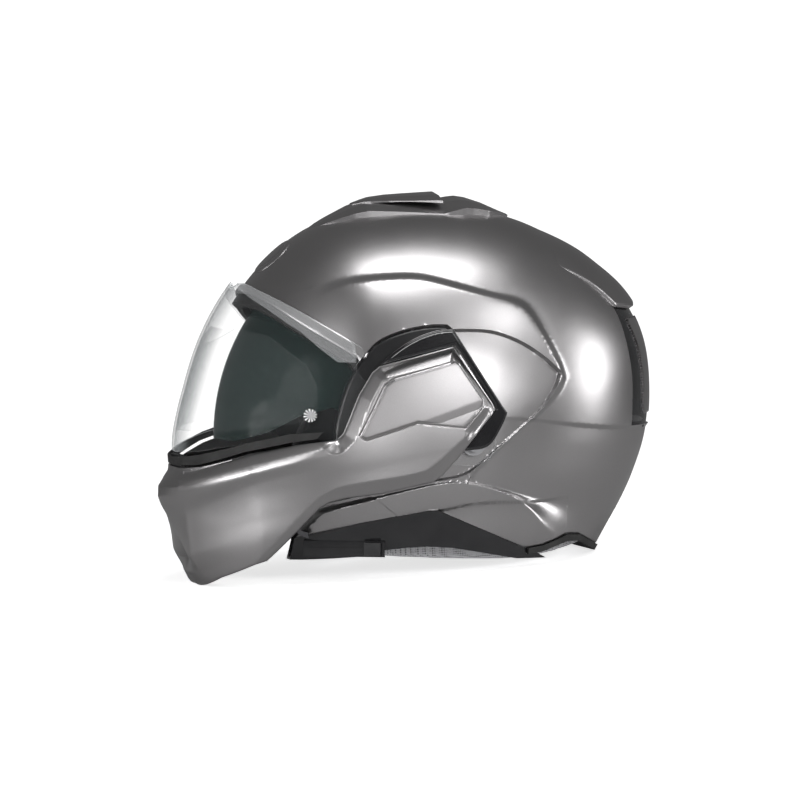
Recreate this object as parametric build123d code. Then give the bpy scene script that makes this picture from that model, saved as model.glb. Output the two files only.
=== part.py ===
from build123d import *
import math
import os

# Modular motorcycle helmet. All lengths in millimetres, angles in degrees.
# The helmet is drawn about its hinge axis (x lateral, + is the wearer's left;
# y to the rear; z up) and is set down on the floor at the end.

# ---- driving dimensions ----
FLOOR_TILT = 3.9          # chin-up tilt when it stands on chin bar and rear rim
FLOOR_Z = -92.03          # height of the floor below the hinge axis
MID_Y = -17.50            # middle of the overall length, from the hinge axis
CHIN_FOOT_Y = -161.1      # where the flat under the chin bar stands, from the middle
RIM_FOOT_Y = 131.0        # where the flat under the rear rim stands, from the middle
ROUND = 2.1               # exponent of the lateral rounding
SHELL_W = 113.0           # half width of the shell at the hinge
SKIRT_W = 123.0           # half width of the flared lower skirt
WALL = 4.0                # shell wall
VISOR_W = 117.6           # half width of the visor at the hinge
VISOR_T = 1.8             # visor wall
DRUM_R = 188.7            # inside radius that the chin bar keeps free
DRUM_W = 118.7            # half width that the chin bar keeps free
CHIN_W = 131.0            # half width over the arms of the chin bar
PIN_R = 6.0               # hinge pin, outer step
HUB_R = 9.0               # hinge pin, inner step that carries the visor
RUN = 0.06                # radial running clearance of the hinges
SUN_R, SUN_W, SUN_T = 157.0, 99.6, 2.4
STRAP_WIDE, STRAP_THICK = 24.0, 1.8

# side profile of the shell: radius from the hinge axis at each angle,
# measured from the rear (0) over the top (90) to the front (180)
SHELL_R = {0: 160.0, 12: 166.5, 24: 173.2, 33: 175.0, 45: 172.6, 57: 169.0, 69: 167.0,
           81: 164.6, 92: 164.0, 104: 166.7, 114: 171.0, 122: 173.4, 135: 173.2, 150: 172.0,
           165: 171.0, 180: 170.5, 195: 171.0, 210: 171.0, 225: 170.0, 240: 169.0,
           255: 168.0, 270: 167.0, 285: 165.0, 300: 160.0, 312: 153.0, 323: 146.0,
           331: 145.0, 340: 147.5, 350: 152.5}
VISOR_R = {0: 181.6, 30: 181.6, 60: 181.6, 90: 181.6, 110: 181.6, 130: 181.6, 145: 181.6,
           158: 181.6, 168: 182.2, 174: 184.2, 180: 186.8, 185: 187.6, 195: 187.6, 210: 186.0,
           230: 182.5, 260: 181.6, 290: 181.6, 320: 181.6, 340: 181.6}
CHIN_R = {0: 192.0, 30: 192.0, 60: 192.0, 90: 192.0, 120: 192.0, 150: 192.0, 170: 192.0,
          180: 192.0, 188: 192.0, 194: 191.6, 200: 195.0, 206: 200.5, 212: 203.0, 220: 203.0,
          240: 198.0, 260: 193.0, 290: 192.0, 320: 192.0, 340: 192.0}

# side-view outlines (y, z)
BROW = [(-139, 103), (-128.8, 95.1), (-113.2, 82), (-96.5, 70.3), (-78, 58.7)]
PORT_SIDE = [(-72, 46), (-68, 20), (-64, -10), (-60, -31)]
JAW_TOP = [(-66, -37.4), (-100.2, -45.4), (-105.2, -47.6), (-115.6, -60.2), (-117, -64)]
RIM = [(-118, -67), (-111.5, -65.1), (-77.4, -55.7), (-31.3, -46.6), (-24.3, -46.7),
       (-15.3, -50.9), (37.5, -73.3), (44, -75), (55, -73.9), (76, -67.5), (88, -68.1),
       (105, -75.5), (119, -80.4), (160, -80.4)]
SKIRT_TOP = [(-115.6, -60.2), (-105.2, -47.6), (-100.2, -45.4), (-66, -37.4), (-38, -30.9),
             (-30, -30.6), (-22, -30.2), (-15, -31), (0, -36), (14, -41), (49, -44),
             (76, -46), (100, -51), (128, -58), (160, -62)]
ARM_TOP = [(-98, 3), (-93.7, 7.5), (-90.6, 14.9), (-82.9, 34.1), (-72.9, 50.5), (-67.5, 54.9),
           (-14.9, 68.3), (12.4, 27.8), (14, 23.3)]
ARM_LOW = [(0.8, 7.3), (-14.2, -11.1), (-25.3, -23.6), (-31.4, -27.3), (-36.4, -28.1),
           (-66.4, -35), (-90.9, -37.7), (-102.5, -40.9), (-108.7, -44.9), (-124.7, -64.4),
           (-140.1, -83.4)]
CHIN_LOW = [(-146.8, -86), (-164.4, -96.7), (-172, -105.4), (-178.8, -95.8), (-177, -84.7),
            (-189, -60.9), (-193.5, -41), (-192.5, -34.5), (-191.5, -28), (-190.8, -19.5)]
CHIN_TOP = [(-180, -18.6), (-153, -8), (-125, -1), (-108, 1.5)]
POD_PANEL = [(-15.6, 56.7), (-12.5, 55.1), (3.8, 30.2), (3.1, 24.9), (-9.4, 11.2),
             (-42.8, 15.0), (-78.3, 3.2), (-81.8, 5.9), (-64.4, 40.7), (-58.2, 45.1)]
ARM_CAP = [(-67.2, 55.3), (-61.5, 61.3), (-49.9, 69.4), (-38.3, 75.2), (-26.6, 78.6),
           (-15.7, 79.2), (-12.7, 74.4), (17.5, 28.5), (24, 21), (21.5, 13), (15, 3), (11, -4),
           (6, -9), (-1, -10.8), (-14.0, -11.4), (0.9, 7.2), (14.1, 23.3), (12.5, 27.9), (-14.8, 68.4)]
HINGE_ARM = ARM_CAP[:13] + [(-8, -10.8), (-14.0, -11.2), (-25.0, -23.2), (-34, -26.5), (-50, -29), (-60, -14),
                            (-64, 8), (-62, 30), (-60, 50)]
LENS_TOP = [(-160, 119), (-146.3, 106.7), (-140.2, 98.7), (-133.3, 92.5), (-122.3, 82.8),
            (-114.1, 76.7), (-104.6, 66.9), (-89, 51.5)]
LENS_LOW = [(-98, 2), (-110, 3.6), (-130, 3), (-148, 0.3), (-166, -4.2), (-188.2, -10.1),
            (-200, -13.5)]


def table(d):
    """Periodic Catmull-Rom reading of a radius table."""
    ks = sorted(d)
    n = len(ks)

    def f(a):
        a = a % 360
        i = max([j for j in range(n) if ks[j] <= a] or [n - 1])
        k = [ks[(i + s) % n] for s in (-1, 0, 1, 2)]
        v = [d[q] for q in k]
        k[0] -= 360 if k[0] > k[1] else 0
        k[2] += 360 if k[2] < k[1] else 0
        k[3] += 360 if k[3] < k[1] else 0
        k[3] += 360 if k[3] < k[2] else 0
        h = k[2] - k[1]
        m1 = (v[2] - v[0]) / (k[2] - k[0])
        m2 = (v[3] - v[1]) / (k[3] - k[1])
        t = (a - k[1]) / h
        return ((2 * t**3 - 3 * t**2 + 1) * v[1] + (t**3 - 2 * t**2 + t) * h * m1
                + (-2 * t**3 + 3 * t**2) * v[2] + (t**3 - t**2) * h * m2)
    return f


def round_off(u):
    return max(0.0, 1 - abs(u) ** ROUND) ** (1 / ROUND)


shell_r, visor_r, chin_r = table(SHELL_R), table(VISOR_R), table(CHIN_R)


BLUNT = (-0.969, -0.93, -0.87, -0.78, -0.66, -0.5, -0.28, 0)
FULL = (-0.9975, -0.99, -0.97, -0.93, -0.87, -0.78, -0.66, -0.5, -0.28, 0)


def form(rf, w, step=12, ends=BLUNT):
    """Solid of side profile rf (radius at an angle), rounded off towards |x| = w."""
    faces = []
    for u in ends + tuple(-v for v in reversed(ends[:-1])):
        k = round_off(u)
        pts = []
        for a in range(0, 360, step):
            r = rf(a) * k
            pts.append((u * w, r * math.cos(math.radians(a)), r * math.sin(math.radians(a))))
        faces.append(Face(Wire([Spline(*pts, periodic=True).edge()])))
    return loft(faces)


def drum(r, w):
    """Solid of revolution about the hinge axis with the same rounding."""
    pts = []
    us = [-0.9975, -0.99, -0.97, -0.93, -0.87, -0.78, -0.66, -0.5, -0.3, -0.1]
    for u in us + [-u for u in reversed(us)]:
        pts.append((u * w, r * round_off(u)))
    edge = Spline(*pts)
    a, b = pts[0], pts[-1]
    face = make_face([edge, Line(b, (b[0], 0)), Line((b[0], 0), (a[0], 0)), Line((a[0], 0), a)])
    return revolve(face, Axis.X, 360)


def prism(poly, x0=-150.0, x1=150.0):
    face = Plane.YZ.offset(x0) * make_face(Polyline(*poly, close=True))
    return extrude(face, x1 - x0, dir=(1, 0, 0))


def tube_x(y, z, r, x0, x1):
    return Pos((x0 + x1) / 2, y, z) * Rot(0, 90, 0) * Cylinder(r, abs(x1 - x0))


def sector(r, a0, a1, x0, x1, step=6):
    n = max(2, int((a1 - a0) / step))
    pts = [(0, 0)] + [(r * math.cos(math.radians(a0 + (a1 - a0) * i / n)),
                       r * math.sin(math.radians(a0 + (a1 - a0) * i / n))) for i in range(n + 1)]
    return prism(pts, x0, x1)


def other_side(s):
    return mirror(s, about=Plane.YZ)


def solids(s, least=30.0):
    """Keep the real pieces of a cut, without crumbs."""
    out = [q for q in s.solids() if q.volume > least]
    return out[0] if len(out) == 1 else Compound(children=out)


# everything below the floor, in the frame of the hinge axis
floor_cut = Rot(FLOOR_TILT, 0, 0) * Pos(0, MID_Y, FLOOR_Z - 50) * Box(600, 600, 100)

nodes = {}

# ---- shell ----
outer = form(shell_r, SHELL_W)
inner = form(lambda a: shell_r(a) - WALL, SHELL_W - WALL)
skirt_out = form(lambda a: shell_r(a) + 0.6, SKIRT_W)
skirt_in = form(lambda a: shell_r(a) - WALL + 0.8, SKIRT_W - WALL)

front_cut = prism([(-300, 103)] + BROW + PORT_SIDE + JAW_TOP + [(-118, -67), (-300, -67)])
below_rim = prism([(-300, -67)] + RIM + [(300, -80.4), (300, -300), (-300, -300)])
skirt_zone = prism(SKIRT_TOP + [(160, -130), (-118, -130), (-118, -64)])
ledge_zone = prism(SKIRT_TOP + [(y, z - 4.0) for y, z in reversed(SKIRT_TOP)])

upper = outer - inner - front_cut - skirt_zone
skirt = (skirt_out - skirt_in) & skirt_zone
ledge = (skirt_out - inner) & ledge_zone
# both stay clear of the arms of the chin bar when it goes over to the back
turning = drum(DRUM_R - 0.9, DRUM_W - 0.9)
skirt, ledge = skirt & turning, ledge & turning
sweep = sector(87.0, -123, 62, 117.3, 140)
shell = upper + skirt + ledge - below_rim - sweep - other_side(sweep)
# the jaw strips end behind the chin bar
shell = shell - prism([(-300, -40), (-117.2, -62), (-118, -80), (-300, -80)])

# black exhaust panel let into the back of the shell
EXHAUST = [(119, 93), (121.5, 91.2), (126.4, 77.8), (131, 51.9), (132.3, 35.8), (131, 15.9),
           (129.9, 7.9), (200, 7.9), (200, 93)]
exhaust_zone = prism(EXHAUST, -70, 70)
exhaust_floor = form(lambda a: shell_r(a) - 2.4, SHELL_W - 2.4)
shell = shell - (exhaust_zone - exhaust_floor)
nodes["outer_shell"] = solids(shell, 400)
exhaust = (exhaust_zone & outer) - exhaust_floor
nodes["rear_exhaust"] = solids(exhaust)

# ---- trims on the shell ----
lift = form(lambda a: shell_r(a) + 2.2, SHELL_W + 1.8)
brow_band = prism([(-145, 103.5), (-139, 103)] + BROW[1:] + [(-71.5, 63.7), (-72.6, 65.6), (-102.8, 85.9),
                                                    (-123.9, 100.7), (-133.4, 106), (-136.8, 111), (-146, 118)])
nodes["brow_trim"] = solids((lift & brow_band) - outer)

seal_poly = BROW + PORT_SIDE + [(-67, -32), (-69, -10), (-73, 20), (-77, 45), (-82.5, 55), (-99.5, 66),
                                (-116.5, 77.8), (-132, 90.5), (-147, 98), (-147, 103)]
seal_out = form(lambda a: shell_r(a) - 0.6, SHELL_W - 0.6)
seal_in = form(lambda a: shell_r(a) - 8.6, SHELL_W - 8.6)
nodes["eyeport_gasket"] = solids((seal_out - seal_in) & prism(seal_poly))

trim_line = [p for p in RIM if 43 < p[0] < 120] + [(126, -80.4)]
trim_poly = trim_line + [(y, z - 4.4) for y, z in reversed(trim_line)]
trim_out = form(lambda a: shell_r(a) + 1.2, SKIRT_W + 0.8)
trim_in = form(lambda a: shell_r(a) - 5.5, SKIRT_W - 5.5)
nodes["rim_trim"] = solids((trim_out - trim_in) & prism(trim_poly) - floor_cut)

# ---- black lower panels under the rim ----
low_line = [p for p in RIM if p[0] < 45]
low_poly = low_line + [(60, -83), (36, -82.5), (7, -77), (-13, -73.5), (-31.6, -72.3), (-45.7, -73.2),
                       (-64.7, -75.6), (-76.5, -79.7), (-93, -81.2), (-111.4, -82.6), (-119, -82.9)]
low_out = form(shell_r, SKIRT_W - 3.0)
low_in = form(lambda a: shell_r(a) - 6.5, SKIRT_W - 10.0)
low_ring = (low_out - low_in) & prism(low_poly)
low_left = low_ring & Pos(100, 0, 0) * Box(200, 600, 600)
low_left = low_left - prism([(43, -60), (70, -60), (70, -79.3), (55, -78.5), (43, -79.7)])

# slider for the sun visor: a track let into the left panel, a knob on it
slide_dir = Vector(-0.405, -0.914, 0).normalized()
track_plane = Plane(origin=(94.4, -84.0, -74.0), x_dir=slide_dir, z_dir=Vector(0.914, -0.405, 0))
pocket = track_plane * Pos(3, 0, 7.0) * Box(58, 11.6, 18)
low_left_cut = low_left - pocket
track = track_plane * (Pos(3, 0, -1.05) * Box(57.4, 11.0, 1.9) + Pos(3, 0, 0.3) * Box(50, 1.6, 0.8))
nodes["lower_panel_left"] = solids(low_left_cut)
nodes["slider_track"] = track
knob = track_plane * (Pos(-17.5, 2.9, 1.6) * Box(10.5, 2.6, 2.8) + Pos(-17.5, -2.9, 1.6) * Box(10.5, 2.6, 2.8)
                      + Pos(-17.5, 0, 2.7) * Box(11.5, 9.4, 2.2))
nodes["sun_slider"] = knob
low_right = other_side(low_left)
cover_plane = Plane(origin=(-94.4, -84.0, -74.0), x_dir=(0.405, -0.914, 0), z_dir=Vector(-0.914, -0.405, 0))
low_right = low_right - cover_plane * Pos(3, 0, 7.0) * Box(58, 11.6, 18)
nodes["lower_panel_right"] = solids(low_right)
nodes["bay_cover"] = cover_plane * Pos(3, 0, -0.9) * Box(57.4, 11.0, 2.2)

# ---- impact liner, with the head space and the slot for the sun visor ----


def dome(a, b, c, y, z, z0):
    """Upper half of an ellipsoid on an oval tube that reaches down to z0."""
    faces = []
    for h in (z0, (z0 + z) / 2, z - 12, z):
        faces.append((Plane.XY.offset(h) * Pos(0, y) * Ellipse(a, b)).face())
    for t in (0.25, 0.45, 0.62, 0.76, 0.87, 0.94, 0.98, 0.995):
        k = math.sqrt(1 - t * t)
        faces.append((Plane.XY.offset(z + c * t) * Pos(0, y) * Ellipse(a * k, b * k)).face())
    return loft(faces)


def oval_tube(a, b, y, z0, z1):
    face = Plane.XY.offset(z0) * Pos(0, y) * Ellipse(a, b)
    return extrude(face, z1 - z0, dir=(0, 0, 1))


head_space = dome(87, 109, 98, 2, 26, -130)
foam_out = form(lambda a: shell_r(a) - WALL - 0.4, SHELL_W - WALL - 0.5)
slot = (drum(SUN_R + 2.4, SUN_W + 2.2) - drum(SUN_R - SUN_T - 2.6, SUN_W - SUN_T - 2.0)) & (
    sector(220, 82, 232, -150, 150) + tube_x(0, 0, 27, -150, 150))
foam = foam_out - head_space - slot
foam = foam - prism([(-300, 97)] + [(y + 6, z - 2.4) for y, z in BROW] + [(-62, 46), (-58, 20), (-54, -10),
                                                                     (-52, -60), (-300, -60)])
foam = foam - prism([(-300, -51.5), (60, -51.5), (110, -60), (300, -60), (300, -300), (-300, -300)])
nodes["eps_liner"] = solids(foam, 2000)

# ---- fabric pads ----
pad = dome(86.2, 108.2, 97.2, 2, 26, -60) - dome(78.5, 100.5, 89.5, 2, 26, -62)
pad = pad & prism([(-140, 64), (-70, 52), (-30, 18), (60, -8), (140, -8), (140, 200), (-140, 200)])
nodes["crown_pad"] = solids(pad, 500)

cheek_poly = [(-60, 30), (-34, 16), (14, 2), (24, -50.5), (-38, -50.5), (-74, -47), (-92, -34), (-80, 0)]
cheek = (drum(150, 92) & prism(cheek_poly)) & Pos(60 + 50, 0, 0) * Box(100, 400, 400)
cheek = cheek & (oval_tube(86.6, 108.6, 2, -130, 60) + Pos(0, -150, 0) * Box(300, 180, 300))
cheek = cheek - pad - prism([(-58, 60), (-52, -10), (-50, -62), (0, -62), (0, 60)], 86.0, 130)
nodes["cheek_pad_left"] = solids(cheek, 500)
nodes["cheek_pad_right"] = solids(other_side(cheek), 500)

roll = oval_tube(88, 102, 10, -90, -58.5) - oval_tube(67, 81, 10, -91, -58)
roll = roll & prism([(-72, -58.5), (70, -58.5), (112, -63), (112, -76), (80, -80), (50, -83.7), (22.6, -83.9),
                     (-7.5, -83.1), (-45, -81.9), (-72.5, -81.2)])
nodes["neck_roll"] = solids(roll)

# ---- hinge plates and pins ----
plate_poly = [(-9, 84), (-14.8, 81.5), (-44.3, 77), (-61.7, 71), (-70, 63), (-80.5, 50), (-88, 34), (-93.5, 14),
              (-94.5, -2), (-60, -20), (-20, -26), (14, -24), (26, 0), (20, 24), (2, 50)]
plate = (prism(plate_poly, 80, 150) & drum(178.6, 114.8)) - outer
plate = plate - tube_x(0, 0, HUB_R, 90, 130)
nodes["pivot_plate_left"] = solids(plate)
nodes["pivot_plate_right"] = solids(other_side(plate))
pin = tube_x(0, 0, HUB_R, 109.55, 118.35) + tube_x(0, 0, PIN_R, 118.35, 123.2)
nodes["pivot_pin_left"] = pin
nodes["pivot_pin_right"] = other_side(pin)

# ---- visor ----
lens_poly = LENS_TOP + [(-74, 42), (-24, 18), (0, 16), (12, 12), (17, 0), (12, -12), (0, -16), (-24, -15),
                        (-70, -7)] + LENS_LOW
lens_out = form(visor_r, VISOR_W, ends=FULL)
lens_in = form(lambda a: visor_r(a) - VISOR_T, VISOR_W - VISOR_T, ends=FULL)
visor = (lens_out - lens_in) & prism(lens_poly)
visor = visor - tube_x(0, 0, HUB_R + RUN, -130, 130)
fog_at = Vector(94.0, -110.2, 19.1)
fog_n = Vector(0.80, -0.59, 0.10).normalized()
nodes["visor_lens"] = solids(visor)

tab_r = [183.2, 187.0]
tab = prism([(r * math.cos(math.radians(a)), r * math.sin(math.radians(a)))
             for r, a in ((tab_r[0], 183.6), (tab_r[1], 183.6), (tab_r[1], 187.2), (tab_r[0] + 1.6, 187.2))], -15, 15)
nodes["visor_tab"] = tab - visor

fog_poly = [(-152, 78), (-134, 74), (-112, 54), (-106, 40), (-106, 18), (-118, 14), (-160, 8), (-200, 4), (-200, 40)]
fog_out = form(lambda a: visor_r(a) - VISOR_T - 0.06, VISOR_W - VISOR_T - 0.06, ends=FULL)
fog_in = form(lambda a: visor_r(a) - VISOR_T - 0.95, VISOR_W - VISOR_T - 0.8, ends=FULL)
fog = (fog_out - fog_in) & prism(fog_poly)
fog_pin = Plane(origin=fog_at, z_dir=fog_n) * Cylinder(4.6, 6)
fog_pin = (fog_pin & drum(DRUM_R - 0.35, DRUM_W - 0.35)) - lens_out
nodes["fog_lens"] = solids(fog)
nodes["fog_pin_left"] = solids(fog_pin, 8)
nodes["fog_pin_right"] = solids(other_side(fog_pin), 8)

# ---- sun visor ----
sun_poly = [(-175, -1), (-150, -1), (-132, 6), (-112, 18), (-92, 24), (-62, 8), (-18, -14), (0, -17), (13, -12),
            (17, 0), (13, 12), (0, 17), (-50, 40), (-72, 62), (-82, 88), (-98, 122), (-130, 130), (-175, 60)]
sun = (drum(SUN_R, SUN_W) - drum(SUN_R - SUN_T, SUN_W - SUN_T)) & prism(sun_poly)
for s in (1, -1):
    sun = sun - tube_x(0, 0, 4.06, s * 80, s * 120)
nodes["sun_lens"] = solids(sun)
stub = tube_x(0, 0, 4.0, 95.0, 101.52)
nodes["sun_pivot_left"] = stub
nodes["sun_pivot_right"] = other_side(stub)

# ---- chin bar ----
free_drum = drum(DRUM_R, DRUM_W)
chin_poly = ARM_TOP + ARM_LOW + CHIN_LOW + CHIN_TOP
chin_form = form(chin_r, CHIN_W, step=8, ends=FULL)
chin_zone = prism(chin_poly)
nose_c = [(-189.3, -19.8), (-193, -27), (-197.6, -34.5), (-197.9, -41), (-190.1, -60.9), (-184.2, -71),
          (-177, -82), (-160, -78), (-160, -25)]
nose_s = [(-183.2, -22), (-184.2, -25.5), (-186.2, -30), (-184, -45), (-181.5, -58), (-178.5, -68),
          (-173, -80), (-160, -78), (-160, -25)]


def section(poly, x):
    return Plane.YZ.offset(x) * make_face(Polyline(*poly, close=True))


nose = (loft([section(nose_s, -30).face(), section(nose_c, 0).face()], ruled=True)
        + loft([section(nose_c, 0).face(), section(nose_s, 30).face()], ruled=True))
chin = (chin_form & chin_zone) + nose - free_drum
# pods: flat seats for the covers, bores for the hinge pins
pod_seat = prism(POD_PANEL, 127.4, 150)
chin = chin - pod_seat - other_side(pod_seat)

# lining inside the chin bar
chin_mid = form(lambda a: chin_r(a) - 3.4, CHIN_W - 3.4, step=8, ends=FULL)
lining_poly = [(-122, -52), (-124.7, -62), (-139, -80), (-147, -84), (-163.5, -94), (-169.5, -99), (-175.5, -92),
               (-174, -84.5), (-178, -72), (-184, -56), (-170, -47)]
lining = (chin_mid & prism(lining_poly)) - free_drum
lining = lining & (chin_form & chin_zone)
chin = chin - lining

# release button in the underside
button_n = Vector(0, 0.683, -0.731).normalized()
button_plane = Plane(origin=(0, -166.9, -99.0), x_dir=(1, 0, 0), z_dir=button_n)
button_hole = button_plane * Pos(0, 0, -4.4) * Box(25.0, 7.0, 12.8)
button = button_plane * (Pos(0, 0, -1.9) * Box(24.2, 6.2, 7.0))
chin, lining = chin - button_hole, lining - button_hole
nodes["release_button"] = button

# vent shutter behind the nose
vent_n = Vector(0, math.cos(math.radians(193.5)), math.sin(math.radians(193.5)))
vent_plane = Plane(origin=vent_n * 191.2, x_dir=(1, 0, 0), z_dir=vent_n)
shutter_hole = vent_plane * (Pos(3.5, 0, 0) * Box(40, 11.2, 2.4) + Pos(0, 0, -4) * Box(22, 6.0, 9))
shutter = vent_plane * (Pos(-0.5, 0, 0) * Box(30, 10.4, 1.6) + Pos(-0.5, 0, -1.3) * Box(4, 3.0, 1.2))
chin = chin - shutter_hole
nodes["chin_vent_shutter"] = shutter

# latch pockets at the rear ends of the chin bar
hook_pocket = prism([(-128.6, -40), (-117.5, -40), (-113, -52), (-119, -62), (-128.6, -62.5)], 84, 93.2)
for p in (hook_pocket, other_side(hook_pocket)):
    chin, lining = chin - p, lining - p
hook_poly = [(-127.3, -44), (-125.8, -46.9), (-125.2, -57.0), (-125.0, -59.4), (-119.6, -59.4), (-119.4, -57.2),
             (-123.1, -57.0), (-123.0, -46.6), (-121.5, -45.6), (-121.2, -43.2), (-124, -41.6), (-126.6, -42.2)]
hook = prism(hook_poly, 90.2, 92.5) - tube_x(-124, -44, 1.56, 80, 100)
hook_pin = tube_x(-124, -44, 1.5, 89.0, 93.2)
nodes["latch_hook_left"] = hook
nodes["latch_hook_right"] = other_side(hook)
chin = chin + hook_pin + other_side(hook_pin)
nodes["chin_bar_liner"] = solids(lining, 100)

striker = (prism([(-119.3, -53.2), (-122.7, -53.8), (-123.0, -56.4), (-117.6, -64.2), (-111, -66.4), (-111.5, -62.4),
                  (-116.4, -61.0)], 87.4, 89.6)
           + tube_x(-121, -55, 1.5, 87.4, 92.9)
           + prism([(-117.6, -64.2), (-111, -66.4), (-111.5, -63.2), (-116.9, -61.8)], 74, 89.6))
striker = striker - shell - low_ring
nodes["latch_striker_left"] = solids(striker, 10)
nodes["latch_striker_right"] = solids(other_side(striker), 10)

# black sill along the top of the chin bar, under the edge of the visor
sill_poly = [(-191.2, -18.4), (-180, -17.2), (-153, -6.4), (-125, 0.6), (-108, 3.2), (-104, 8.0), (-125, 6.4),
             (-150, 0.0), (-180, -10.5), (-190.8, -13.6)]
sill = (drum(DRUM_R + 2.0, DRUM_W + 2.0) - free_drum) & prism(sill_poly)
nodes["chin_sill"] = solids(sill - chin)

# hinge arms (black where they show) and pod covers
arm = prism(HINGE_ARM, 118.8, 121.8) + prism(ARM_CAP, 121.0, 124.4)
arm = arm - tube_x(0, 0, PIN_R + RUN, 118, 123.4)
chin = chin - arm - other_side(arm)
nodes["hinge_arm_left"] = arm
nodes["hinge_arm_right"] = other_side(arm)
cover = offset(section(POD_PANEL, 127.4).face(), -0.35)
cover = extrude(cover, 2.5, dir=(1, 0, 0))
nodes["pod_cover_left"] = cover
nodes["pod_cover_right"] = other_side(cover)
for s in (1, -1):
    chin = chin - tube_x(0, 0, PIN_R + RUN, s * 117, s * 123.4)
nodes["chin_bar_shell"] = solids(chin - floor_cut, 60)

# ---- crown vent, spoiler, forehead disc ----
vent_base = prism([(-91, 144), (-90.6, 146.4), (-62, 163.4), (-49.6, 168.2), (-20.6, 170.9), (3.4, 171.4),
                   (15.3, 171.6), (24, 170.4), (52, 159.4), (52, 140), (-60, 140)], -24, 24) - outer
nodes["top_vent_base"] = solids(vent_base)
vent_slide = prism([(-50.2, 168.5), (-49.2, 169.7), (-20.6, 173.0), (3.6, 174.4), (5.4, 171.9), (-20.6, 171.3)], -15, 15)
nodes["top_vent_slider"] = vent_slide
spoiler_form = form(lambda a: shell_r(a) + 3.2, SHELL_W + 3.2)
spoiler = (spoiler_form & prism([(66, 122.6), (78, 140), (107.3, 135), (130.1, 122), (152, 98), (144, 91.9),
                                 (125, 93.5), (112, 97), (103, 103.4)], -66, 66)) - outer
nodes["rear_spoiler"] = solids(spoiler)
disc_n = Vector(0, math.cos(math.radians(132)), math.sin(math.radians(132)))
disc = Plane(origin=disc_n * 172, z_dir=disc_n) * Cylinder(17.5, 30)
disc = disc & (form(lambda a: shell_r(a) + 1.2, SHELL_W + 1.2) - outer)
nodes["forehead_disc"] = solids(disc)

# ---- chin strap and buckle ----
STRAP_Y = -10.0


def strap(path):
    """Flat webbing along an (x, z) path, STRAP_THICK thick."""
    line = Polyline(*path)
    left, right = [], []
    for i, p in enumerate(path):
        a = path[max(i - 1, 0)]
        b = path[min(i + 1, len(path) - 1)]
        d = math.hypot(b[0] - a[0], b[1] - a[1])
        nx, nz = -(b[1] - a[1]) / d, (b[0] - a[0]) / d
        h = STRAP_THICK / 2
        left.append((p[0] + nx * h, p[1] + nz * h))
        right.append((p[0] - nx * h, p[1] - nz * h))
    face = Plane.XZ.offset(-(STRAP_Y + STRAP_WIDE / 2)) * make_face(Polyline(*(left + right[::-1]), close=True))
    return extrude(face, STRAP_WIDE, dir=(0, -1, 0))


left_path = [(97, -55.2), (70, -55.2), (62, -56), (56, -60), (48, -67), (38, -73), (30, -75.4), (22.4, -76.2)]
right_path = [(-97, -55.2), (-70, -55.2), (-62, -56), (-56, -60), (-48, -67), (-38, -73), (-30, -75.6), (-21, -76.6)]
nodes["chin_strap_left"] = strap(left_path)
nodes["chin_strap_right"] = strap(right_path)
BX, BZ = 4.0, -76.6
housing = Pos(BX, STRAP_Y, BZ - 0.6) * Box(36, 27, 8.4)
housing = housing - Pos(BX - 3, STRAP_Y, BZ) * Box(36, 17.4, 2.6)
housing = housing - Pos(BX - 5, STRAP_Y, BZ - 4.0) * Box(27, 20.6, 4.4)
housing = housing - Pos(BX - 5, STRAP_Y, BZ - 2.2) * Box(14, 14.0, 3.0)
pin_x, pin_z = BX + 5.4, BZ - 3.4
lever_pin = Pos(pin_x, STRAP_Y, pin_z) * Rot(90, 0, 0) * Cylinder(1.1, 24.0)
lever = Pos(BX - 5.4, STRAP_Y, BZ - 3.5) * Box(24.0, 19.8, 2.2) + Pos(pin_x, STRAP_Y, pin_z) * Rot(90, 0, 0) * Cylinder(1.9, 19.8)
lever = lever - Pos(pin_x, STRAP_Y, pin_z) * Rot(90, 0, 0) * Cylinder(1.16, 30)
housing = housing - Pos(pin_x, STRAP_Y, pin_z) * Rot(90, 0, 0) * Cylinder(2.5, 20.6)
nodes["buckle_housing"] = housing + lever_pin
nodes["buckle_lever"] = lever
tongue = Pos(BX - 10, STRAP_Y, BZ) * Box(22, 16.6, 1.8) + Pos(BX - 22.5, STRAP_Y, BZ) * Box(4.2, 26, 2.6)
nodes["buckle_tongue"] = tongue - nodes["chin_strap_right"]
rivet = Pos(92.5, STRAP_Y, -57.0) * Box(9, 20, 1.8) + Pos(92.5, STRAP_Y, -58.6) * Cylinder(3.4, 1.4)
nodes["strap_rivet_left"] = rivet
nodes["strap_rivet_right"] = other_side(rivet)


# ---- set the helmet down on the floor and write each piece ----
def place(s):
    return Pos(0, -MID_Y, -FLOOR_Z) * Rot(-FLOOR_TILT, 0, 0) * s


if __name__ == "__main__":
    os.makedirs("parts", exist_ok=True)
    low, high = [1e9] * 3, [-1e9] * 3
    for name, piece in nodes.items():
        piece = place(piece)
        box = piece.bounding_box()
        low = [min(a, b) for a, b in zip(low, box.min)]
        high = [max(a, b) for a, b in zip(high, box.max)]
        export_step(piece, f"parts/{name}.step")
    hinge = place(Vertex(0, 0, 0)).center()
    print("pieces", len(nodes), "low", [round(v, 3) for v in low], "high", [round(v, 3) for v in high])
    print("hinge", tuple(round(v, 4) for v in hinge))
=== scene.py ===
import bpy, math
import numpy as np
from mathutils import Matrix, Vector
from mathutils.kdtree import KDTree

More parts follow.
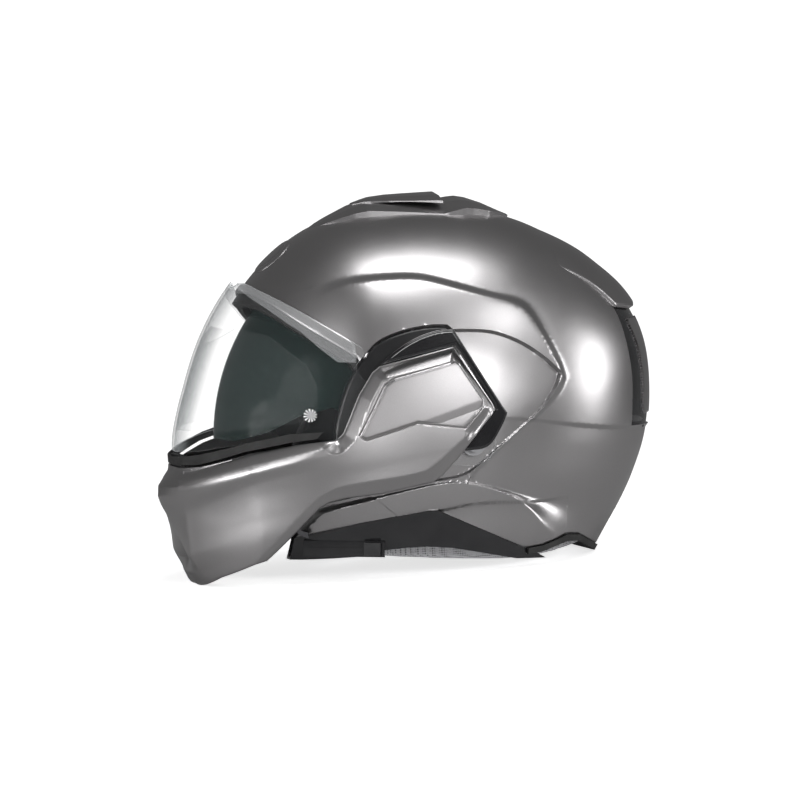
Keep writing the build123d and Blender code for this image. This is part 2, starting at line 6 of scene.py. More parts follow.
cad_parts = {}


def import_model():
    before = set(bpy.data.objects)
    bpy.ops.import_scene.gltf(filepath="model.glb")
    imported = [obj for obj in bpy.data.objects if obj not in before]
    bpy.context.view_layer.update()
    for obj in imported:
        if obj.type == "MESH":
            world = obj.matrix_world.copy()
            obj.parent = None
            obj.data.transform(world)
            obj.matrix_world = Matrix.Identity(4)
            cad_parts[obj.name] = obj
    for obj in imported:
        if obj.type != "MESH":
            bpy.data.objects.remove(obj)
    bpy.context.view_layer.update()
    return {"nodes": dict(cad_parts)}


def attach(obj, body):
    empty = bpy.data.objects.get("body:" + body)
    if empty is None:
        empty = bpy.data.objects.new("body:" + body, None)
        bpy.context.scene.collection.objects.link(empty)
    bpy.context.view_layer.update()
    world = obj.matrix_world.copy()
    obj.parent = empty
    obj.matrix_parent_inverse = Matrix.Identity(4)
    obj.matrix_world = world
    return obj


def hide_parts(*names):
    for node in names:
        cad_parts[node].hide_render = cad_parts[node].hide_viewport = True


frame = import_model()

# ---------------------------------------------------------------- shared frame
# The helmet is drawn about its hinge axis, in millimetres: x lateral (+ is the
# wearer's left), y to the rear, z up. world() sets it down on the floor.
TILT = math.radians(3.9)
MID_Y, FLOOR_Z = -17.50, -92.03
CT, ST = math.cos(TILT), math.sin(TILT)


def world(p):
    p = np.asarray(p, float)
    out = np.empty_like(p)
    out[..., 0] = p[..., 0]
    out[..., 1] = CT * p[..., 1] + ST * p[..., 2] - MID_Y
    out[..., 2] = -ST * p[..., 1] + CT * p[..., 2] - FLOOR_Z
    return out / 1000.0


SHELL_R = {0: 160.0, 12: 166.5, 24: 173.2, 33: 175.0, 45: 172.6, 57: 169.0, 69: 167.0,
           81: 164.6, 92: 164.0, 104: 166.7, 114: 171.0, 122: 173.4, 135: 173.2, 150: 172.0,
           165: 171.0, 180: 170.5, 195: 171.0, 210: 171.0, 225: 170.0, 240: 169.0,
           255: 168.0, 270: 167.0, 285: 165.0, 300: 160.0, 312: 153.0, 323: 146.0,
           331: 145.0, 340: 147.5, 350: 152.5}
VISOR_R = {0: 181.6, 30: 181.6, 60: 181.6, 90: 181.6, 110: 181.6, 130: 181.6, 145: 181.6,
           158: 181.6, 168: 182.2, 174: 184.2, 180: 186.8, 185: 187.6, 195: 187.6, 210: 186.0,
           230: 182.5, 260: 181.6, 290: 181.6, 320: 181.6, 340: 181.6}
CHIN_R = {0: 192.0, 30: 192.0, 60: 192.0, 90: 192.0, 120: 192.0, 150: 192.0, 170: 192.0,
          180: 192.0, 188: 192.0, 194: 191.6, 200: 195.0, 206: 200.5, 212: 203.0, 220: 203.0,
          240: 198.0, 260: 193.0, 290: 192.0, 320: 192.0, 340: 192.0}
DRUM = {0: 188.7, 90: 188.7, 180: 188.7, 270: 188.7}

BROW = [(-139, 103), (-128.8, 95.1), (-113.2, 82), (-96.5, 70.3), (-78, 58.7)]
BROW_UP = [(-146, 118), (-136.8, 110.6), (-133.4, 104.9), (-123.9, 100.5), (-102.8, 85.7), (-72.2, 65.2)]
PORT_SIDE = [(-72, 46), (-68, 20), (-64, -10), (-60, -31)]
JAW_TOP = [(-66, -37.4), (-100.2, -45.4), (-105.2, -47.6), (-115.6, -60.2), (-117, -64)]
RIM = [(-118, -67), (-111.5, -65.1), (-77.4, -55.7), (-31.3, -46.6), (-24.3, -46.7),
       (-15.3, -50.9), (37.5, -73.3), (44, -75), (55, -73.9), (76, -67.5), (88, -68.1),
       (105, -75.5), (119, -80.4), (160, -80.4)]
SKIRT_TOP = [(-115.6, -60.2), (-105.2, -47.6), (-100.2, -45.4), (-66, -37.4), (-38, -30.9),
             (-30, -30.6), (-22, -30.2), (-15, -31), (0, -36), (14, -41), (49, -44),
             (76, -46), (100, -51), (128, -58), (160, -62)]
RIDGE1 = [(-120, -62), (-115.6, -60.2), (-105.2, -47.2), (-100.2, -44.8), (-65, -36), (-34.8, -29.2), (-26.5, -27.8),
          (-16.3, -26.6), (-6.2, -26.4), (5.6, -28.3), (14.4, -30.6), (28.4, -34.4), (48.8, -39.5), (76, -44),
          (110, -50), (170, -60)]
RIDGE2 = [(-31, -46.2), (-24.3, -46.2), (-18.5, -45.2), (0.3, -41.5), (21.1, -40.8), (52.3, -41.7), (76, -39.5)]
SHOULDER = [(-97, 110), (-82.3, 114.5), (-60.9, 117.2), (-38.9, 118.3), (-25.5, 117.4), (-5.7, 112.2), (18.8, 105.5),
            (39.8, 100.9), (48.9, 95.2), (56, 84.1), (64.3, 68.4), (71.8, 52.7), (73.8, 43.8), (68.2, 32.8),
            (52.8, 17.5), (28.4, 0.2), (2.9, -21.7)]
RECESS = [(-15.3, 77.4), (-4.7, 77.9), (15.4, 77.3), (30, 73), (42.1, 67.4), (56, 58), (67.4, 47.9), (64, 38),
          (52, 22), (30, 4), (8, -14), (-6, -24), (-40, -28), (-30, 20)]
ARM_TOP = [(-98, 3), (-93.7, 7.5), (-90.6, 14.9), (-82.9, 34.1), (-72.9, 50.5), (-67.5, 54.9),
           (-14.9, 68.3), (12.4, 27.8), (14, 23.3)]
ARM_LOW = [(0.8, 7.3), (-14.2, -11.1), (-25.3, -23.6), (-31.4, -27.3), (-36.4, -28.1),
           (-66.4, -35), (-90.9, -37.7), (-102.5, -40.9), (-108.7, -44.9), (-124.7, -64.4),
           (-140.1, -83.4)]
CHIN_LOW = [(-146.8, -86), (-164.4, -96.7), (-172, -104.0), (-178.8, -95.8), (-177, -84.7),
            (-189, -60.9), (-193.5, -41), (-192.5, -34.5), (-191.5, -28), (-190.8, -19.5)]
CHIN_TOP = [(-180, -18.6), (-153, -8), (-125, -1), (-108, 1.5)]
POD_PANEL = [(-15.6, 56.7), (-12.5, 55.1), (3.8, 30.2), (3.1, 24.9), (-9.4, 11.2),
             (-42.8, 15.0), (-78.3, 3.2), (-81.8, 5.9), (-64.4, 40.7), (-58.2, 45.1)]
POD_LOW = [(-96, -29.0), (-94, -28.2), (-40.7, -19.4), (-32.4, -14.9), (0.9, 14.5), (5.5, 25.6)]
ARM_CAP = [(-67.2, 55.3), (-61.5, 61.3), (-49.9, 69.4), (-38.3, 75.2), (-26.6, 78.6),
           (-15.7, 79.2), (-12.7, 74.4), (17.5, 28.5), (23, 21), (20.5, 14), (16, 6), (12.5, 0.5),
           (8, -3.2), (2, -4.8), (-9.0, -5.1), (0.9, 7.2), (14.1, 23.3), (12.5, 27.9), (-14.8, 68.4)]
LENS_TOP = [(-160, 119), (-146.3, 106.7), (-140.2, 98.7), (-133.3, 92.5), (-122.3, 82.8),
            (-114.1, 76.7), (-104.6, 66.9), (-89, 51.5)]
LENS_LOW = [(-98, 2), (-110, 3.6), (-130, 3), (-148, 0.3), (-166, -4.2), (-188.2, -10.1), (-200, -13.5)]
EXHAUST = [(119, 93), (121.5, 91.2), (126.4, 77.8), (131, 51.9), (132.3, 35.8), (131, 15.9),
           (129.9, 7.9), (200, 7.9), (200, 93)]


def prof(d):
    """Periodic reading of a radius table, by angle in degrees."""
    ks = sorted(d)
    n = len(ks)
    xs = np.arange(0, 360, 0.25)
    out = []
    for a in xs:
        i = max([j for j in range(n) if ks[j] <= a] or [n - 1])
        k = [ks[(i + s) % n] for s in (-1, 0, 1, 2)]
        v = [d[q] for q in k]
        k[0] -= 360 if k[0] > k[1] else 0
        k[2] += 360 if k[2] < k[1] else 0
        k[3] += 360 if k[3] < k[1] else 0
        k[3] += 360 if k[3] < k[2] else 0
        h = k[2] - k[1]
        m1 = (v[2] - v[0]) / (k[2] - k[0])
        m2 = (v[3] - v[1]) / (k[3] - k[1])
        t = (a - k[1]) / h
        out.append((2 * t**3 - 3 * t**2 + 1) * v[1] + (t**3 - 2 * t**2 + t) * h * m1
                   + (-2 * t**3 + 3 * t**2) * v[2] + (t**3 - t**2) * h * m2)
    out = np.array(out + [out[0]])
    xs = np.append(xs, 360.0)
    return lambda a: np.interp(np.mod(a, 360), xs, out)


shell_r, visor_r, chin_r, drum_r = prof(SHELL_R), prof(VISOR_R), prof(CHIN_R), prof(DRUM)
ROUND = 2.1


class Sheet:
    """A triangle sheet in the helmet's own millimetres."""

    def __init__(self, V, F):
        self.V, self.F = np.asarray(V, float), np.asarray(F, np.int64)

    def copy(self):
        return Sheet(self.V.copy(), self.F.copy())

    def normals(self):
        a, b, c = (self.V[self.F[:, i]] for i in range(3))
        n = np.cross(b - a, c - a)
        out = np.zeros_like(self.V)
        for i in range(3):
            np.add.at(out, self.F[:, i], n)
        L = np.linalg.norm(out, axis=1)
        return out / np.maximum(L, 1e-12)[:, None]

    def tidy(self):
        used = np.zeros(len(self.V), bool)
        used[self.F.ravel()] = True
        m = np.cumsum(used) - 1
        self.V, self.F = self.V[used], m[self.F]
        return self

    def split(self, field, c=0.0, snap=0.06):
        """Cuts the triangles that cross field = c, so that an edge runs along it."""
        s = field(self.V) - c
        s = np.where(np.abs(s) < snap, 0.0, s)
        F = self.F
        sf = np.sign(s)[F]
        cross = ((sf.min(1) < 0) & (sf.max(1) > 0))
        if not cross.any():
            return self
        keep, cut = F[~cross], F[cross]
        sc = np.sign(s)[cut]
        # turn each so that vertex 0 is the lone one (k=2) or the zero one (k=1)
        zero = (sc == 0)
        has_zero = zero.any(1)
        pos, neg = (sc > 0).sum(1), (sc < 0).sum(1)
        lone_sign = np.where(pos == 1, 1, -1)
        lead = np.where(has_zero, zero.argmax(1), (sc == lone_sign[:, None]).argmax(1))
        idx = (lead[:, None] + np.arange(3)[None]) % 3
        T = np.take_along_axis(cut, idx, 1)
        z, two = T[has_zero], T[~has_zero]
        edges = np.vstack([z[:, [1, 2]], two[:, [0, 1]], two[:, [0, 2]]])
        lo = np.sort(edges, 1)
        uniq, inv = np.unique(lo, axis=0, return_inverse=True)
        inv = inv.ravel()
        s0, s1 = s[uniq[:, 0]], s[uniq[:, 1]]
        t = (s0 / (s0 - s1))[:, None]
        new = self.V[uniq[:, 0]] * (1 - t) + self.V[uniq[:, 1]] * t
        base = len(self.V)
        nz, nt = len(z), len(two)
        ez = base + inv[:nz]
        e1 = base + inv[nz:nz + nt]
        e2 = base + inv[nz + nt:]
        tris = [keep,
                np.stack([z[:, 0], z[:, 1], ez], 1), np.stack([z[:, 0], ez, z[:, 2]], 1),
                np.stack([two[:, 0], e1, e2], 1), np.stack([e1, two[:, 1], two[:, 2]], 1),
                np.stack([e1, two[:, 2], e2], 1)]
        self.V = np.vstack([self.V, new])
        self.F = np.vstack([q for q in tris if len(q)])
        return self

    def crisp(self, field, c=0.0, reach=0.24):
        """Slides the points near field = c onto it within the surface, then cuts the rest."""
        s = field(self.V) - c
        near = np.abs(s) < reach
        P = self.V[near]
        if len(P):
            n = self.normals()[near]
            e = 0.02 * np.eye(3)
            g = np.stack([(field(P + e[k]) - field(P - e[k])) / 0.04 for k in range(3)], -1)
            g = g - (g * n).sum(1)[:, None] * n
            q = (g * g).sum(1)
            move = -g * (s[near] / np.maximum(q, 0.25))[:, None]
            move[q < 0.25] = 0
            move[np.abs(P[:, 0]) < 1e-4, 0] = 0
            self.V[near] = P + move
        return self.split(field, c)

    def keep(self, field, c=0.0, inside=True, cut=True):
        """Keeps the side where field < c (or > c)."""
        if cut:
            self.split(field, c)
        m = field(self.V[self.F].mean(1)) - c
        self.F = self.F[(m < 0) if inside else (m > 0)]
        return self.tidy()

    def lift(self, d):
        """Moves each point along its normal by d (an array)."""
        self.V = self.V + self.normals() * np.asarray(d)[:, None]
        return self

    def both(self):
        """The sheet and its mirror."""
        n = len(self.V)
        M = self.V * np.array([-1.0, 1, 1])
        return Sheet(np.vstack([self.V, M]), np.vstack([self.F, self.F[:, ::-1] + n]))

    def mirrored(self):
        return Sheet(self.V * np.array([-1.0, 1, 1]), self.F[:, ::-1].copy())

    def slab(self, back):
        """Closes the sheet with a back face: back is a thickness or the points of the back."""
        V, F = self.V, self.F
        B = V - self.normals() * back if np.isscalar(back) else np.asarray(back, float)
        n = len(V)
        e = np.vstack([F[:, [0, 1]], F[:, [1, 2]], F[:, [2, 0]]])
        code = e[:, 0] * (n + 1) + e[:, 1]
        rev = e[:, 1] * (n + 1) + e[:, 0]
        edge = e[~np.isin(code, rev)]
        side = np.vstack([np.stack([edge[:, 1], edge[:, 0], edge[:, 0] + n], 1),
                          np.stack([edge[:, 1], edge[:, 0] + n, edge[:, 1] + n], 1)])
        return Sheet(np.vstack([V, B]), np.vstack([F, F[:, ::-1] + n, side]))

    def smooth(self, k=0.5, times=5, mask=None):
        F = self.F
        e = np.vstack([F[:, [0, 1]], F[:, [1, 2]], F[:, [2, 0]]])
        e = np.unique(np.sort(e, 1), axis=0)
        deg = np.bincount(e.ravel(), minlength=len(self.V))[:, None]
        for _ in range(times):
            acc = np.zeros_like(self.V)
            np.add.at(acc, e[:, 0], self.V[e[:, 1]])
            np.add.at(acc, e[:, 1], self.V[e[:, 0]])
            avg = acc / np.maximum(deg, 1)
            w = k if mask is None else k * mask[:, None]
            self.V = self.V + w * (avg - self.V)
        return self


def join(*sheets):
    V, F, n = [], [], 0
    for s in sheets:
        V.append(s.V)
        F.append(s.F + n)
        n += len(s.V)
    return Sheet(np.vstack(V), np.vstack(F))


def globe(rf, w, dt=0.8, df=0.8, t0=0.0, t1=360.0, half=False, off=0.0, p=ROUND):
    """The rounded form of side profile rf and half width w; half keeps x >= 0."""
    wrap = abs((t1 - t0) - 360) < 1e-6
    nt = max(8, int(round((t1 - t0) / dt)))
    th = t0 + (t1 - t0) * np.arange(nt + (0 if wrap else 1)) / nt
    f0 = 0.0 if half else -89.2
    nf = max(6, int(round((89.2 - f0) / df)))
    ph = np.radians(f0 + (89.2 - f0) * np.arange(nf + 1) / nf)
    u = np.sign(np.sin(ph)) * np.abs(np.sin(ph)) ** (2 / p)
    g = np.cos(ph) ** (2 / p)
    TH, U = np.meshgrid(th, u, indexing="ij")
    G = np.meshgrid(th, g, indexing="ij")[1]
    Rr = (rf(TH) + off) * G
    V = np.stack([U * (w + off), Rr * np.cos(np.radians(TH)), Rr * np.sin(np.radians(TH))], -1)
    a, b = V.shape[:2]
    V = V.reshape(-1, 3)
    i = np.arange(a if wrap else a - 1)
    j = np.arange(b - 1)
    I, J = np.meshgrid(i, j, indexing="ij")
    I2 = (I + 1) % a
    q = np.stack([I * b + J, I * b + J + 1, I2 * b + J + 1, I2 * b + J], -1).reshape(-1, 4)
    F = np.vstack([q[:, [0, 2, 1]], q[:, [0, 3, 2]]])
    return Sheet(V, F)


def dense(poly, closed=True, times=2, corner=35.0):
    """Rounds the gentle turns of a polyline and keeps its sharp corners."""
    P = [np.array(q, float) for q in poly]
    for _ in range(times):
        out = []
        n = len(P)
        rng = range(n) if closed else range(1, n - 1)
        if not closed:
            out.append(P[0])
        for i in rng:
            a, b, c = P[i - 1], P[i], P[(i + 1) % n]
            u, v = b - a, c - b
            turn = math.degrees(math.acos(max(-1, min(1, u @ v / (np.linalg.norm(u) * np.linalg.norm(v) + 1e-9)))))
            if turn > corner or turn < 1.0:
                out.append(b)
            else:
                k = 0.25
                out += [b - u * k, b + v * k]
        if not closed:
            out.append(P[-1])
        P = out
    return np.array(P)


def inside(P, poly):
    y, z = P[:, 0], P[:, 1]
    r = np.zeros(len(P), bool)
    a = np.asarray(poly, float)
    b = np.roll(a, -1, 0)
    for (y0, z0), (y1, z1) in zip(a, b):
        if z0 == z1:
            continue
        hit = ((z0 > z) != (z1 > z)) & (y < (y1 - y0) * (z - z0) / (z1 - z0) + y0)
        r ^= hit
    return r


def seg_dist(P, pts, closed):
    a = np.asarray(pts, float)
    b = np.roll(a, -1, 0) if closed else a[1:]
    a = a if closed else a[:-1]
    d = np.full(len(P), 1e9)
    for p, q in zip(a, b):
        v = q - p
        L = v @ v
        if L < 1e-12:
            continue
        t = np.clip(((P - p) @ v) / L, 0, 1)
        e = P - p - t[:, None] * v
        np.minimum(d, e[:, 0] ** 2 + e[:, 1] ** 2, out=d)
    return np.sqrt(d)


def region(poly, reach=15.0, smooth=True, axes=(1, 2)):
    """Signed distance to a closed outline in the side view, negative inside."""
    pts = dense(poly) if smooth else np.asarray(poly, float)
    lo, hi = pts.min(0) - reach, pts.max(0) + reach

    def f(V):
        P = V[:, list(axes)]
        near = ((P > lo) & (P < hi)).all(1)
        out = np.full(len(V), float(reach))
        Q = P[near]
        if len(Q):
            d = np.minimum(seg_dist(Q, pts, True), 1e6)
            d[inside(Q, pts)] *= -1
            out[near] = d
        return out
    return f


def line(poly, closing, reach=15.0, smooth=True):
    """Signed distance to an open line; the side that closing encloses is negative."""
    pts = dense(poly, closed=False) if smooth else np.asarray(poly, float)
    ring = np.vstack([pts, np.asarray(closing, float)])

    def f(V):
        P = V[:, [1, 2]]
        d = seg_dist(P, pts, False)
        d[inside(P, ring)] *= -1
        return d
    return f


def side_cut(sign=1.0):
    return lambda V: -sign * V[:, 0]


def sm(t):
    t = np.clip(t, 0, 1)
    return t * t * (3 - 2 * t)


def smin(a, b, k):
    h = np.clip(0.5 + 0.5 * (b - a) / k, 0, 1)
    return b * (1 - h) + a * h - k * h * (1 - h)


# ---------------------------------------------------------------- materials
def new_mat(name, color, rough=0.5, metal=0.0, coat=0.0, spec=0.5, trans=0.0, ior=1.45, alpha=1.0, sheen=0.0):
    m = bpy.data.materials.new(name)
    m.use_nodes = True
    nt = m.node_tree
    b = nt.nodes["Principled BSDF"]
    b.inputs["Base Color"].default_value = (*color, 1)
    b.inputs["Roughness"].default_value = rough
    b.inputs["Metallic"].default_value = metal
    b.inputs["Coat Weight"].default_value = coat
    b.inputs["Coat Roughness"].default_value = 0.06
    b.inputs["Specular IOR Level"].default_value = spec
    b.inputs["Transmission Weight"].default_value = trans
    b.inputs["IOR"].default_value = ior
    b.inputs["Alpha"].default_value = alpha
    b.inputs["Sheen Weight"].default_value = sheen
    return m, nt, b


def add(nt, kind, **k):
    n = nt.nodes.new(kind)
    for a, v in k.items():
        if a in n.inputs:
            n.inputs[a].default_value = v
        else:
            setattr(n, a, v)
    return n


def coords(nt, scale=1.0):
    t = add(nt, "ShaderNodeTexCoord")
    mp = add(nt, "ShaderNodeMapping")
    mp.inputs["Scale"].default_value = (scale, scale, scale)
    nt.links.new(t.outputs["Object"], mp.inputs["Vector"])
    return mp.outputs["Vector"]


def tint(nt, b, vec, scale, low, high, detail=4.0, sock="Base Color", rough=0.55):
    n = add(nt, "ShaderNodeTexNoise")
    n.inputs["Scale"].default_value = scale
    n.inputs["Detail"].default_value = detail
    n.inputs["Roughness"].default_value = rough
    nt.links.new(vec, n.inputs["Vector"])
    r = add(nt, "ShaderNodeValToRGB")
    r.color_ramp.elements[0].position = 0.3
    r.color_ramp.elements[1].position = 0.7
    if sock == "Base Color":
        r.color_ramp.elements[0].color = (*low, 1)
        r.color_ramp.elements[1].color = (*high, 1)
    else:
        r.color_ramp.elements[0].color = (low, low, low, 1)
        r.color_ramp.elements[1].color = (high, high, high, 1)
    nt.links.new(n.outputs["Fac"], r.inputs["Fac"])
    nt.links.new(r.outputs["Color"], b.inputs[sock])
    return n


def bump(nt, b, height, strength=0.2, dist=0.001):
    n = add(nt, "ShaderNodeBump")
    n.inputs["Strength"].default_value = strength
    n.inputs["Distance"].default_value = dist
    nt.links.new(height, n.inputs["Height"])
    nt.links.new(n.outputs["Normal"], b.inputs["Normal"])
    return n


def paint(name, color, rough=0.34, spread=0.03, coat=0.25):
    """Titanium metallic paint: fine flake under a satin clear coat."""
    m, nt, b = new_mat(name, color, rough, 1.0, coat)
    b.inputs["Coat Roughness"].default_value = 0.16
    v = coords(nt)
    lo = tuple(max(0, c - spread) for c in color)
    hi = tuple(c + spread for c in color)
    tint(nt, b, v, 2600.0, lo, hi, 2.0)
    fl = add(nt, "ShaderNodeTexVoronoi")
    fl.inputs["Scale"].default_value = 2300.0
    nt.links.new(v, fl.inputs["Vector"])
    wide = add(nt, "ShaderNodeTexNoise")
    wide.inputs["Scale"].default_value = 38.0
    wide.inputs["Detail"].default_value = 3.0
    nt.links.new(v, wide.inputs["Vector"])
    rr = add(nt, "ShaderNodeMapRange")
    rr.inputs["To Min"].default_value = rough - 0.025
    rr.inputs["To Max"].default_value = rough + 0.03
    nt.links.new(wide.outputs["Fac"], rr.inputs["Value"])
    nt.links.new(rr.outputs["Result"], b.inputs["Roughness"])
    bump(nt, b, fl.outputs["Color"], 0.10, 0.0001)
    return m


def plastic(name, color, rough, spread=0.006, coat=0.0, grain=900.0, depth=0.15, spec=0.5):
    m, nt, b = new_mat(name, color, rough, 0.0, coat, spec)
    v = coords(nt)
    lo = tuple(max(0, c - spread) for c in color)
    hi = tuple(c + spread for c in color)
    tint(nt, b, v, 60.0, lo, hi)
    n = add(nt, "ShaderNodeTexNoise")
    n.inputs["Scale"].default_value = grain
    n.inputs["Detail"].default_value = 5.0
    nt.links.new(v, n.inputs["Vector"])
    bump(nt, b, n.outputs["Fac"], depth, 0.0002)
    return m


def metal(name, color, rough, grain=400.0):
    m, nt, b = new_mat(name, color, rough, 1.0)
    v = coords(nt)
    mp = add(nt, "ShaderNodeMapping")
    mp.inputs["Scale"].default_value = (1.0, 12.0, 12.0)
    nt.links.new(v, mp.inputs["Vector"])
    tint(nt, b, mp.outputs["Vector"], grain, tuple(c * 0.85 for c in color), color)
    n = add(nt, "ShaderNodeTexNoise")
    n.inputs["Scale"].default_value = grain
    nt.links.new(mp.outputs["Vector"], n.inputs["Vector"])
    bump(nt, b, n.outputs["Fac"], 0.08, 0.0001)
    return m


def fabric(name, color, scale=1.0, rough=0.95, deep=0.5):
    m, nt, b = new_mat(name, color, rough, 0.0, 0.0, 0.2, sheen=0.3)
    v = coords(nt, scale)
    w1 = add(nt, "ShaderNodeTexWave", wave_type="BANDS", bands_direction="DIAGONAL")
    w1.inputs["Scale"].default_value = 520.0
    w1.inputs["Distortion"].default_value = 1.2
    w2 = add(nt, "ShaderNodeTexWave", wave_type="BANDS", bands_direction="Z")
    w2.inputs["Scale"].default_value = 520.0
    w2.inputs["Distortion"].default_value = 1.2
    nt.links.new(v, w1.inputs["Vector"])
    nt.links.new(v, w2.inputs["Vector"])
    mul = add(nt, "ShaderNodeMath", operation="MULTIPLY")
    nt.links.new(w1.outputs["Fac"], mul.inputs[0])
    nt.links.new(w2.outputs["Fac"], mul.inputs[1])
    r = add(nt, "ShaderNodeValToRGB")
    r.color_ramp.elements[0].color = (*[c * 0.45 for c in color], 1)
    r.color_ramp.elements[1].color = (*[min(1, c * 1.35) for c in color], 1)
    nt.links.new(mul.outputs["Value"], r.inputs["Fac"])
    nt.links.new(r.outputs["Color"], b.inputs["Base Color"])
    bump(nt, b, mul.outputs["Value"], deep, 0.0006)
    return m


def mesh_cloth(name, color):
    """Open spacer mesh: small dark holes in a light knit."""
    m, nt, b = new_mat(name, color, 0.85, 0.0, 0.0, 0.25)
    v = coords(nt)
    vo = add(nt, "ShaderNodeTexVoronoi")
    vo.inputs["Scale"].default_value = 620.0
    vo.inputs["Randomness"].default_value = 0.12
    nt.links.new(v, vo.inputs["Vector"])
    r = add(nt, "ShaderNodeValToRGB")
    r.color_ramp.elements[0].position = 0.18
    r.color_ramp.elements[0].color = (*[c * 0.12 for c in color], 1)
    r.color_ramp.elements[1].position = 0.42
    r.color_ramp.elements[1].color = (*color, 1)
    nt.links.new(vo.outputs["Distance"], r.inputs["Fac"])
    nt.links.new(r.outputs["Color"], b.inputs["Base Color"])
    bump(nt, b, vo.outputs["Distance"], 0.8, 0.0008)
    return m


def clear(name, color, alpha, rough=0.02, coat=0.0):
    """Clear polycarbonate, thin: mostly see-through, with its gloss; towards grazing views it turns more opaque and
    pale, a painted sheen.
    """
    m, nt, b = new_mat(name, color, rough, 0.0, coat, 0.1, alpha=alpha)
    v = coords(nt)
    n = add(nt, "ShaderNodeTexNoise")
    n.inputs["Scale"].default_value = 22.0
    n.inputs["Detail"].default_value = 3.0
    nt.links.new(v, n.inputs["Vector"])
    rr = add(nt, "ShaderNodeMapRange")
    rr.inputs["To Min"].default_value = rough
    rr.inputs["To Max"].default_value = rough + 0.03
    nt.links.new(n.outputs["Fac"], rr.inputs["Value"])
    nt.links.new(rr.outputs["Result"], b.inputs["Roughness"])
    # alpha rises towards grazing views so the pale base colour shows there: a painted sheen standing in for the
    # reflection
    lw = add(nt, "ShaderNodeLayerWeight")
    lw.inputs["Blend"].default_value = 0.5
    painted_grazing_sheen = add(nt, "ShaderNodeMapRange")
    painted_grazing_sheen.inputs["From Min"].default_value = 0.5
    painted_grazing_sheen.inputs["To Min"].default_value = alpha
    painted_grazing_sheen.inputs["To Max"].default_value = min(1.0, alpha + 0.5)
    nt.links.new(lw.outputs["Facing"], painted_grazing_sheen.inputs["Value"])
    nt.links.new(painted_grazing_sheen.outputs["Result"], b.inputs["Alpha"])
    return m


M = {
    # steel drawn near black so the latch parts under the chin bar's rear edge sit in with the shade there: painted
    # shade
    "steel_dark": metal("latch_steel_painted_shade", (0.09, 0.09, 0.095), 0.38),
    "paint": paint("titanium_paint", (0.43, 0.42, 0.425), 0.31),
    "paint_pod": paint("titanium_paint_pod", (0.36, 0.35, 0.355), 0.38, coat=0.1),
    "paint_dark": paint("titanium_paint_dark", (0.20, 0.195, 0.195), 0.30),
    "gloss": plastic("black_gloss", (0.010, 0.010, 0.011), 0.08, 0.003, coat=0.6, grain=160.0, depth=0.02),
    "black": plastic("black_plastic", (0.018, 0.018, 0.019), 0.42, depth=0.25),
    "plate": plastic("black_plate", (0.010, 0.010, 0.011), 0.30, 0.003, coat=0.15, grain=500.0, depth=0.12),
    "rubber": plastic("black_rubber", (0.016, 0.016, 0.016), 0.62, grain=700.0, depth=0.3),
    "red": plastic("button_plastic", (0.25, 0.02, 0.02), 0.4),
    "foam": plastic("impact_foam", (0.030, 0.030, 0.032), 0.8, 0.01, grain=420.0, depth=0.6),
    "pad": fabric("lining_fabric", (0.030, 0.030, 0.033)),
    "mesh": mesh_cloth("neck_mesh", (0.30, 0.30, 0.31)),
    "web": fabric("webbing", (0.022, 0.022, 0.024), 0.7, deep=0.8),
    "steel": metal("buckle_steel", (0.55, 0.55, 0.57), 0.28),
    "clear": clear("clear_polycarbonate", (0.42, 0.44, 0.45), 0.02),
    "clear_rim": clear("clear_rim", (0.55, 0.56, 0.57), 0.28, 0.06),
    # near-white and mostly opaque: a painted highlight on the cut edges of the visor
    "clear_painted_edge_highlight": clear("clear_painted_edge_highlight", (0.90, 0.92, 0.93), 0.75, 0.05),
    "fog": clear("fog_insert", (0.5, 0.53, 0.53), 0.015),
    "pin": plastic("pin_plastic", (0.22, 0.22, 0.22), 0.3),
    "tint": clear("tinted_lens", (0.006, 0.017, 0.015), 0.94, 0.10),
}

count = 0


def piece(name, sheet, mat, body, replaces=(), angle=38.0, mats=None, face_mat=None):
    """Makes the Blender mesh of a sheet, in the row frame."""
    sheet.tidy()
    me = bpy.data.meshes.new(name)
    V, F = world(sheet.V), sheet.F
    a, b, c = V[F[:, 0]], V[F[:, 1]], V[F[:, 2]]
    ok = np.linalg.norm(np.cross(b - a, c - a), axis=1) > 1e-14
    F = F[ok]
    me.vertices.add(len(V))
    me.vertices.foreach_set("co", V.astype(np.float32).ravel())
    me.loops.add(len(F) * 3)
    me.loops.foreach_set("vertex_index", F.astype(np.int32).ravel())
    me.polygons.add(len(F))
    me.polygons.foreach_set("loop_start", np.arange(0, len(F) * 3, 3, dtype=np.int32))
    me.update(calc_edges=True)
    me.validate()
    for q in (mats or [mat]):
        me.materials.append(M[q])
    if face_mat is not None:
        me.polygons.foreach_set("material_index", face_mat[ok].astype(np.int32))
    me.polygons.foreach_set("use_smooth", np.ones(len(me.polygons), bool))
    me.set_sharp_from_angle(angle=math.radians(angle))
    o = bpy.data.objects.new(name, me)
    bpy.context.scene.collection.objects.link(o)
    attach(o, body)
    if replaces:
        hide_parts(*replaces)
    return o


def hard_lines(o, lines):
    """Marks the edges that run along given rows of points as hard ones."""
    me = o.data
    tree = KDTree(len(me.vertices))
    for v in me.vertices:
        tree.insert(v.co, v.index)
    tree.balance()
    rows = []
    for pts in lines:
        row = set()
        for q in world(pts):
            row.update(i for _, i, _ in tree.find_range(tuple(q), 2e-5))
        rows.append(row)
    for e in me.edges:
        a, b = e.vertices
        if any(a in row and b in row for row in rows):
            e.use_edge_sharp = True


def carry(node, mat, angle=30.0):
    """A CAD node that is shown as it is, with a material."""
    o = frame["nodes"][node]
    o.data.materials.clear()
    o.data.materials.append(M[mat])


